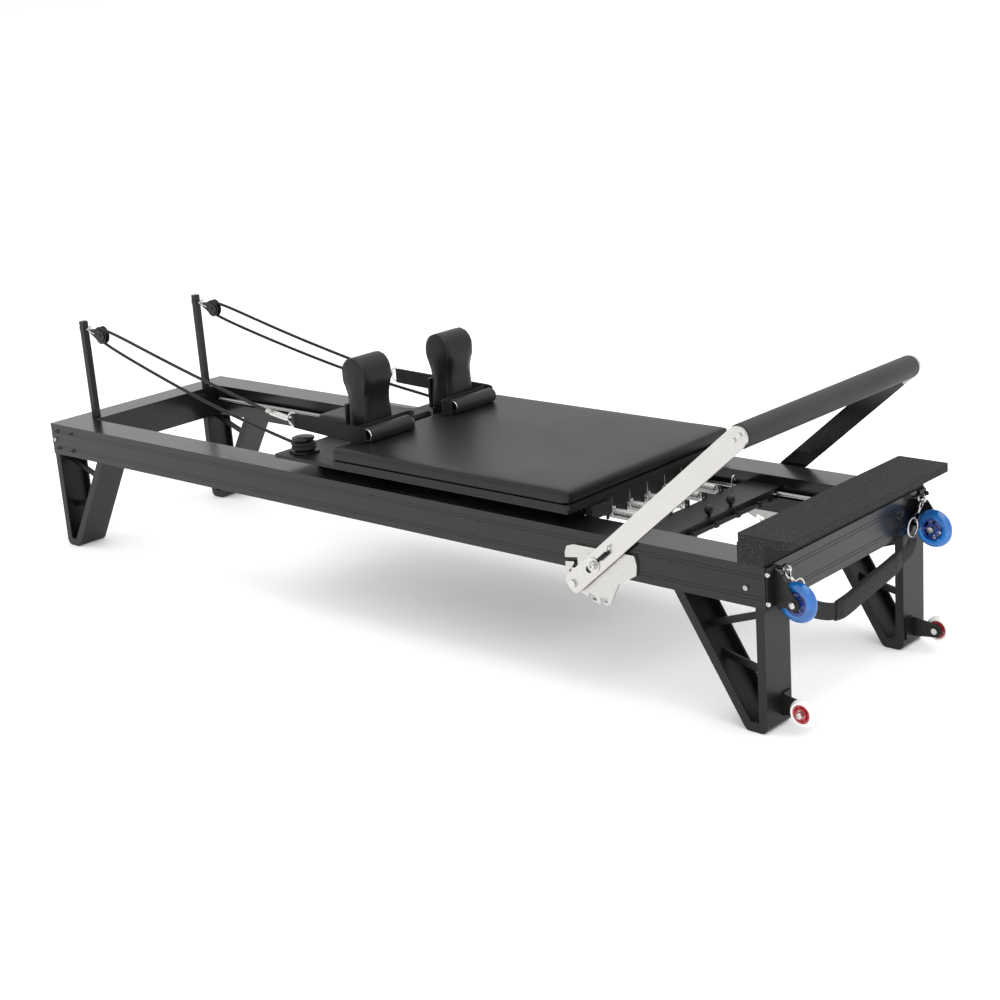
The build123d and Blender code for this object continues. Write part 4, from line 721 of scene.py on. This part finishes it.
def skate_wheel(name, centre, radius, width, hub, tyre_material, core_material):
    """Tyre, spoked core and bearing of one wheel. The body that turns has the same name."""
    half = width / 2
    tyre_profile = [
        (hub, -half + 0.0015), (radius * 0.80, -half + 0.0005), (radius * 0.90, -half + 0.0035),
        (radius * 0.965, -half + 0.0075), (radius, -0.0015), (radius, 0.0015),
        (radius * 0.965, half - 0.0075), (radius * 0.90, half - 0.0035), (radius * 0.80, half - 0.0005),
        (hub, half - 0.0015), (hub, -half + 0.0015),
    ]
    tyre = turned_piece(name, tyre_profile, centre, (0, 1, 0), steps=72)
    settle(tyre, f"{name}_tyre", tyre_material, name, angle=50)
    rim = hub - 0.0004
    parts = []
    for inner, outer, reach in ((rim - 0.004, rim, half - 0.003), (0.0085, 0.0125, half - 0.001)):
        ring = [(inner, -reach), (outer, -reach), (outer, reach), (inner, reach), (inner, -reach)]
        parts.append(turned_piece(name, ring, centre, (0, 1, 0)))
    spoke_start = 0.0115
    reach = rim - 0.002 - spoke_start
    for i in range(6):
        bpy.ops.mesh.primitive_cube_add(size=1)
        spoke = bpy.context.object
        spoke.data.transform(Matrix.Diagonal((reach, width - 0.008, 0.0045, 1)))
        spoke.data.transform(Matrix.Translation((spoke_start + reach / 2, 0, 0)))
        spoke.data.transform(Matrix.Rotation(2 * pi * i / 6, 4, "Y"))
        spoke.location = centre
        bevel = spoke.modifiers.new("soft_edges", "BEVEL")
        bevel.width = 0.0006
        bpy.ops.object.modifier_apply(modifier=bevel.name)
        parts.append(spoke)
    pick(*parts)
    bpy.ops.object.join()
    settle(bpy.context.object, f"{name}_core", core_material, name)
    shield_profile = [
        (0.0042, -half + 0.002), (0.0068, -half + 0.0016), (0.0086, -half + 0.002), (0.0086, half - 0.002),
        (0.0068, half - 0.0016), (0.0042, half - 0.002), (0.0042, -half + 0.002),
    ]
    bearing = turned_piece(name, shield_profile, centre, (0, 1, 0), steps=36)
    settle(bearing, f"{name}_bearing", bright_steel, name)
    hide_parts(name)


transport_x, transport_z, glide_x, glide_z = 1.182, 0.276, 1.190, 0.048
for side, side_name in both_sides:
    centre = (transport_x, side * 0.260, transport_z)
    name = f"transport_wheel_{side_name}"
    skate_wheel(name, centre, 0.042, 0.024, 0.025, blue_urethane, blue_core)
    centre = (glide_x, side * 0.265, glide_z)
    name = f"glide_wheel_{side_name}"
    skate_wheel(name, centre, 0.029, 0.020, 0.020, white_urethane, red_core)

# Axle bolt heads: a dome with a round recess for its socket, outside each wheel.
axle_profile = [
    (0.0, 0.0012), (0.0022, 0.0012), (0.0026, 0.0030), (0.0045, 0.0027), (0.0062, 0.0012), (0.0068, 0.0),
]
for side, side_name in both_sides:
    for number, (x, y, z) in enumerate(((transport_x, 0.284, transport_z), (glide_x, 0.2815, glide_z))):
        dome = turned_piece("axle", axle_profile, (x, side * y, z), (0, side, 0), steps=32)
        settle(dome, f"axle_dome_{side_name}_{number}", bright_steel, "frame")

# ---- Moulded nylon parts ------------------------------------------------------------
# Sheaves, pulley shells, load wheels, pivot bushes and knobs: black nylon with a fine
# moulded satin.
nylon = satin_black("black_moulded_nylon", ("#121213", "#1c1c1d"), 0.36, 260, 0.00008)
finish(
    nylon, "sheave_left", "sheave_right", "load_wheels_head", "load_wheels_foot", "pivot_bushes",
    "pull_knob_left", "pull_knob_right", "pulley_block_left", "pulley_block_right",
)
stop_rubber = foam_skin("black_stop_rubber", "#161616", "#1f1f1f", 0.7)
finish(stop_rubber, "stop_bumpers")

# Pull knobs: round ball knobs with a flat foot, over the plungers of the spring bar.
knob_profile = [
    (0.0, 0.0202), (0.0035, 0.0198), (0.0068, 0.0178), (0.0092, 0.0142), (0.0100, 0.0100), (0.0094, 0.0062),
    (0.0078, 0.0030), (0.0058, 0.0008), (0.0045, 0.0),
]
for side, side_name in both_sides:
    knob = turned_piece("knob", knob_profile, (0.815, side * 0.040, 0.335), (0, 0, 1), steps=40)
    settle(knob, f"ball_knob_{side_name}", nylon, f"pull_knob_{side_name}", angle=60)

# Pulley shackles: two bright wire bows from each eye, over the shell's cheeks.
shackle_way = Vector((cos(radians(11.5)), 0, -sin(radians(11.5))))
for side, side_name in both_sides:
    eye = Vector((-1.1295, side * 0.195, 0.600))
    body = f"pulley_{side_name}"
    for number, reach in enumerate((0.0225, 0.0335)):
        half_bow = ((reach, 0.0106), (0.006, 0.0106), (0.0, 0.006))
        bow = [(along, -across) for along, across in half_bow] + list(half_bow[::-1])
        bow = [eye + shackle_way * along + Vector((0, across, 0)) for along, across in bow]
        wire = wire_along("shackle", smooth_path("bow", bow), 0.0018, sides=3)
        settle(wire, f"pulley_shackle_{side_name}_{number}", bright_steel, body, angle=60)

# ---- Springs ------------------------------------------------------------------------
# Extension springs of plated wire with an eye at both ends. Real turns of about 2.5 mm wire
# touch; here 3 mm wire is wound 3.8 mm apart, so that the turns show.
zinc_wire = bare_metal("zinc_plated_spring_wire", ("#a9a9a8", "#d8d7d4"), 0.22, (1, 1, 1), 220, 0.00002)
spring_z, eye_out, coil_out = 0.331, 0.0065, 0.0104
coil_start, coil_end, steps = 0.2225, 0.7155, 1300
for number, y in enumerate((-0.124, -0.062, 0.0, 0.062, 0.124)):
    spring_path = []
    for i in range(13):
        turn = pi * (1.5 * i / 12 + 0.5)
        spring_path.append(Vector((0.2095 - eye_out * cos(turn), y, spring_z + eye_out * sin(turn))))
    for i in range(steps + 1):
        turn = 2 * pi * i / 10
        x = coil_start + (coil_end - coil_start) * i / steps
        spring_path.append(Vector((x, y + coil_out * sin(turn), spring_z + coil_out * cos(turn))))
    for i in range(13):
        turn = pi * (1.5 * i / 12 - 0.5)
        spring_path.append(Vector((0.7225 + eye_out * cos(turn), y, spring_z + eye_out * sin(turn))))
    spring = wire_along("spring", spring_path, 0.0015, sides=1)
    spring.name = f"extension_spring_{number}"
    spring.data.materials.append(zinc_wire)
    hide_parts("springs")
    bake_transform(spring)

# Spare spring hooks: bright wire hooks hung under the foot edge of the carriage.
for number in range(6):
    y = -0.200 + 0.0625 * number
    hook = smooth_path("hook", [(0.630, y + across, z) for across, z in (
        (0, 0.376), (0, 0.352), (-0.001, 0.338), (0.004, 0.326), (0.013, 0.328), (0.014, 0.340),
    )])
    wire = wire_along("hook", hook, 0.0014, sides=2)
    settle(wire, f"spare_spring_hook_{number}", bright_steel, "carriage", angle=60)


# ---- Webbing ------------------------------------------------------------------------
# Woven polyester webbing: the hand straps, and the carry strap with its padded sleeve.
def woven_webbing(name, dark, light):
    """Woven webbing: yarns that cross about 1.6 mm apart, matt with a faint sheen."""
    material, tree = new_material(name)
    place = add_node(tree, "ShaderNodeTexCoord")
    scaled = add_node(tree, "ShaderNodeMapping", {"Scale": (620, 620, 1)}, Vector=place.outputs["UV"])
    split = add_node(tree, "ShaderNodeSeparateXYZ", Vector=scaled)
    waves = []
    for axis in (0, 1):
        angle = add_node(tree, "ShaderNodeMath", {"operation": "MULTIPLY", 1: 2 * pi}, i0=split.outputs[axis])
        waves.append(add_node(tree, "ShaderNodeMath", {"operation": "SINE"}, i0=angle))
    weave = add_node(tree, "ShaderNodeMath", {"operation": "MULTIPLY"}, i0=waves[0], i1=waves[1])
    ramp = add_node(tree, "ShaderNodeMapRange", {"From Min": -1.0, "From Max": 1.0}, Value=weave)
    yarn = add_node(tree, "ShaderNodeMix", {"data_type": "RGBA", 6: paint(dark), 7: paint(light)}, i0=ramp)
    lift = add_node(tree, "ShaderNodeBump", {"Strength": 0.6, "Distance": 0.0004}, Height=weave)
    skin = add_node(
        tree, "ShaderNodeBsdfPrincipled",
        {"Roughness": 0.75, "Sheen Weight": 0.08, "Sheen Roughness": 0.4, "Specular IOR Level": 0.25},
        Base_Color=yarn.outputs[2], Normal=lift,
    )
    add_node(tree, "ShaderNodeOutputMaterial", Surface=skin)
    return material


def band_along(name, path, width, thickness, flat_way, swell=None):
    """A flat strap along a path. flat_way(t) is the way its width lies, and swell(t) scales it."""
    profile = []
    edge = min(thickness * 0.48, width * 0.2)
    for cx, cz, begin in (
        (width / 2 - edge, thickness / 2 - edge, 0), (-width / 2 + edge, thickness / 2 - edge, 90),
        (-width / 2 + edge, -thickness / 2 + edge, 180), (width / 2 - edge, -thickness / 2 + edge, 270),
    ):
        for i in range(4):
            turn = radians(begin + 30 * i)
            profile.append((cx + edge * cos(turn), cz + edge * sin(turn)))
    count = len(profile)
    travelled = [0.0]
    for here, after in zip(path, path[1:]):
        travelled.append(travelled[-1] + (after - here).length)
    places = []
    for i, here in enumerate(path):
        run = (path[min(i + 1, len(path) - 1)] - path[max(i - 1, 0)]).normalized()
        t = travelled[i] / travelled[-1]
        across = Vector(flat_way(t))
        across = (across - run * across.dot(run)).normalized()
        out = run.cross(across)
        size = swell(t) if swell else (1, 1)
        places += [here + across * a * size[0] + out * b * size[1] for a, b in profile]
    faces = []
    for i in range(len(path) - 1):
        for j in range(count):
            k = (j + 1) % count
            faces.append((i * count + j, i * count + k, (i + 1) * count + k, (i + 1) * count + j))
    faces.append(tuple(range(count - 1, -1, -1)))
    last = (len(path) - 1) * count
    faces.append(tuple(range(last, last + count)))
    mesh = bpy.data.meshes.new(name)
    mesh.from_pydata(places, [], faces)
    layer = mesh.uv_layers.new(name="UVMap")
    for face in mesh.polygons:
        for loop in face.loop_indices:
            vertex = mesh.loops[loop].vertex_index
            row, column = divmod(vertex, count)
            layer.data[loop].uv = (travelled[row], profile[column][0] + 0.05)
    strap = bpy.data.objects.new(name, mesh)
    bpy.context.collection.objects.link(strap)
    face_outward(strap)
    return strap


webbing = woven_webbing("black_polyester_webbing", "#0d0d0d", "#1a1a1a")


def upright(t):
    """The strap's width stands on edge."""
    return (0, 0, 1)


# Hand straps: a strand from the ring to the grip's outer end, and a second from the inner
# end back behind the grip to the ring.
grip_x, grip_z = -0.036, 0.4443
for side, side_name, start_x in ((-1, "left", -0.2608), (1, "right", -0.3688)):
    outer_strand = smooth_path("strand", [
        (start_x - 0.017, side * 0.2305, 0.4550), (start_x, side * 0.2310, 0.4545),
        (start_x + 0.088, side * 0.233, 0.4510), (-0.110, side * 0.2335, 0.4465),
        (-0.060, side * 0.2325, 0.446), (-0.044, side * 0.226, 0.446), (grip_x, side * 0.2215, 0.446),
    ])
    strap = band_along("hand_strap", outer_strand, 0.038, 0.0024, upright)
    settle(strap, f"hand_strap_outer_{side_name}", webbing, "carriage", angle=60)
    inner_strand = smooth_path("strand", [
        (grip_x, side * 0.0740, 0.446), (-0.037, side * 0.060, 0.446), (-0.045, side * 0.0520, 0.446),
        (-0.056, side * 0.058, 0.446), (-0.0585, side * 0.075, 0.446), (-0.0585, side * 0.150, 0.446),
        (-0.0585, side * 0.212, 0.446), (-0.066, side * 0.2255, 0.446), (-0.090, side * 0.2265, 0.4465),
        (start_x + 0.080, side * 0.2270, 0.4510), (start_x - 0.017, side * 0.2275, 0.4550),
    ])
    strap = band_along("hand_strap", inner_strand, 0.038, 0.0024, upright)
    settle(strap, f"hand_strap_inner_{side_name}", webbing, "carriage", angle=60)
    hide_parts("hand_straps")
    fold_line = [(start_x - back, side * y, 0.4550) for back, y in (
        (0.001, 0.2305), (0.011, 0.2335), (0.019, 0.2325), (0.019, 0.2275), (0.011, 0.2265), (0.001, 0.229),
    )]
    fold = band_along("strap_fold", smooth_path("fold", fold_line), 0.036, 0.002, upright)
    settle(fold, f"hand_strap_fold_{side_name}", webbing, "carriage", angle=60)

# Hand grips: foam tubes with a bright steel ring in each end for the webbing.
grip_profile = [
    (0.0110, 0.0), (0.0160, 0.0), (0.0176, 0.0010), (0.0180, 0.0030), (0.0180, 0.069), (0.0180, 0.135),
    (0.0176, 0.137), (0.0160, 0.138), (0.0110, 0.138), (0.0110, 0.0),
]
grip_foam = foam_skin("grip_foam", "#121213", "#1b1b1c", 0.5)
for side, side_name in both_sides:
    grip = turned_piece("grip", grip_profile, (grip_x, side * 0.078, grip_z), (0, side, 0))
    settle(grip, f"hand_grip_{side_name}", grip_foam, "carriage", angle=50)
    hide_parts("hand_grips")
    for number, y in enumerate((0.0768, 0.2172)):
        ring_path = []
        for i in range(32):
            turn = 2 * pi * i / 32
            ring_path.append(Vector((grip_x + 0.0138 * cos(turn), side * y, grip_z + 0.0138 * sin(turn))))
        ring = wire_along("ring", ring_path, 0.0017, sides=3, closed=True)
        settle(ring, f"grip_ring_{side_name}_{number}", bright_steel, "carriage", angle=60)

# Carry strap: webbing that hangs in front of the foot crossbar from a ring at each end,
# with a padded sleeve over its middle.
strap_points = [(1.155, y, z) for y, z in (
    (-0.217, 0.262), (-0.2145, 0.250), (-0.206, 0.244), (-0.178, 0.233), (-0.136, 0.212), (-0.088, 0.195),
    (-0.040, 0.196), (0.010, 0.206), (0.062, 0.214), (0.114, 0.221), (0.166, 0.231), (0.206, 0.241),
    (0.2145, 0.252), (0.217, 0.262),
)]
strap_line = smooth_path("carry_line", strap_points)


def carry_flat(t):
    """The webbing's width stands in the crossbar's plane."""
    return (0, 0.001, 1)


carry = band_along("carry_band", strap_line, 0.036, 0.003, carry_flat)
settle(carry, "carry_strap_webbing", webbing, "frame", angle=60)
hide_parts("carry_strap")
sleeve_line = [p for p in strap_line if -0.088 < p.y < 0.166]


def sleeve_swell(t):
    """The sleeve narrows a little at both open ends and swells between its seams."""
    return (0.94 + 0.06 * min(1, sin(pi * t) * 3), 0.55 + 0.45 * min(1, sin(pi * t) * 4))


padded_cloth = woven_webbing("padded_sleeve_cloth", "#161617", "#272728")
sleeve_pad = band_along("sleeve", sleeve_line, 0.046, 0.0145, carry_flat, sleeve_swell)
settle(sleeve_pad, "carry_strap_sleeve", padded_cloth, "frame", angle=80)

# A spare bright hook stands at the rear of the spring bar.
rear_hook = smooth_path("hook", [(0.752, y, z) for y, z in (
    (0.136, 0.331), (0.136, 0.345), (0.136, 0.358), (0.142, 0.364), (0.149, 0.358), (0.148, 0.350),
)])
wire = wire_along("rear_hook", rear_hook, 0.0018, sides=2)
settle(wire, "spring_bar_hook", bright_steel, "frame", angle=60)

# ---- Rope cleats --------------------------------------------------------------------
# Black nylon spools screwed to the carriage plate. Rope is wound round each in two layers,
# three turns up and three looser turns down over them.
cleat_profile = [
    (0.0, 0.0), (0.0268, 0.0), (0.0279, 0.0012), (0.0279, 0.0048), (0.0265, 0.0062), (0.0190, 0.0085),
    (0.0180, 0.0130), (0.0180, 0.0270), (0.0190, 0.0315), (0.0262, 0.0328), (0.0277, 0.0340),
    (0.0274, 0.0385), (0.0250, 0.0398), (0.0070, 0.0400), (0.0, 0.0400),
]
cleat_x, cleat_y = -0.234, 0.246
layer_steps = 96
for side, side_name in both_sides:
    spool = turned_piece("cleat", cleat_profile, (cleat_x, side * cleat_y, 0.384), (0, 0, 1))
    settle(spool, f"rope_cleat_{side_name}", nylon, "carriage", angle=50)
    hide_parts("rope_cleats")
    bpy.ops.mesh.primitive_cube_add(size=1, location=(cleat_x, side * cleat_y, 0.38655))
    foot = bpy.context.object
    foot.scale = (0.063, 0.043, 0.0048)
    settle(foot, f"rope_cleat_foot_{side_name}", nylon, "carriage")
    wrap = []
    for i in range(2 * layer_steps + 1):
        turn = 2 * pi * i / 32 + pi
        if i <= layer_steps:
            out, rise = 0.0222, 0.0145 * i / layer_steps
        else:
            out = 0.0262 + 0.0014 * sin(turn * 0.7)
            rise = 0.0145 * (1 - (i - layer_steps - 1) / layer_steps) + 0.003 * sin(turn * 0.5)
        wrap.append(Vector((cleat_x + out * cos(turn), side * (cleat_y + out * sin(turn)), 0.3955 + rise)))
    turns_piece = wire_along("wrap", wrap, 0.0039, sides=3)
    settle(turns_piece, f"rope_turns_{side_name}", rope_braid, "carriage", angle=60)
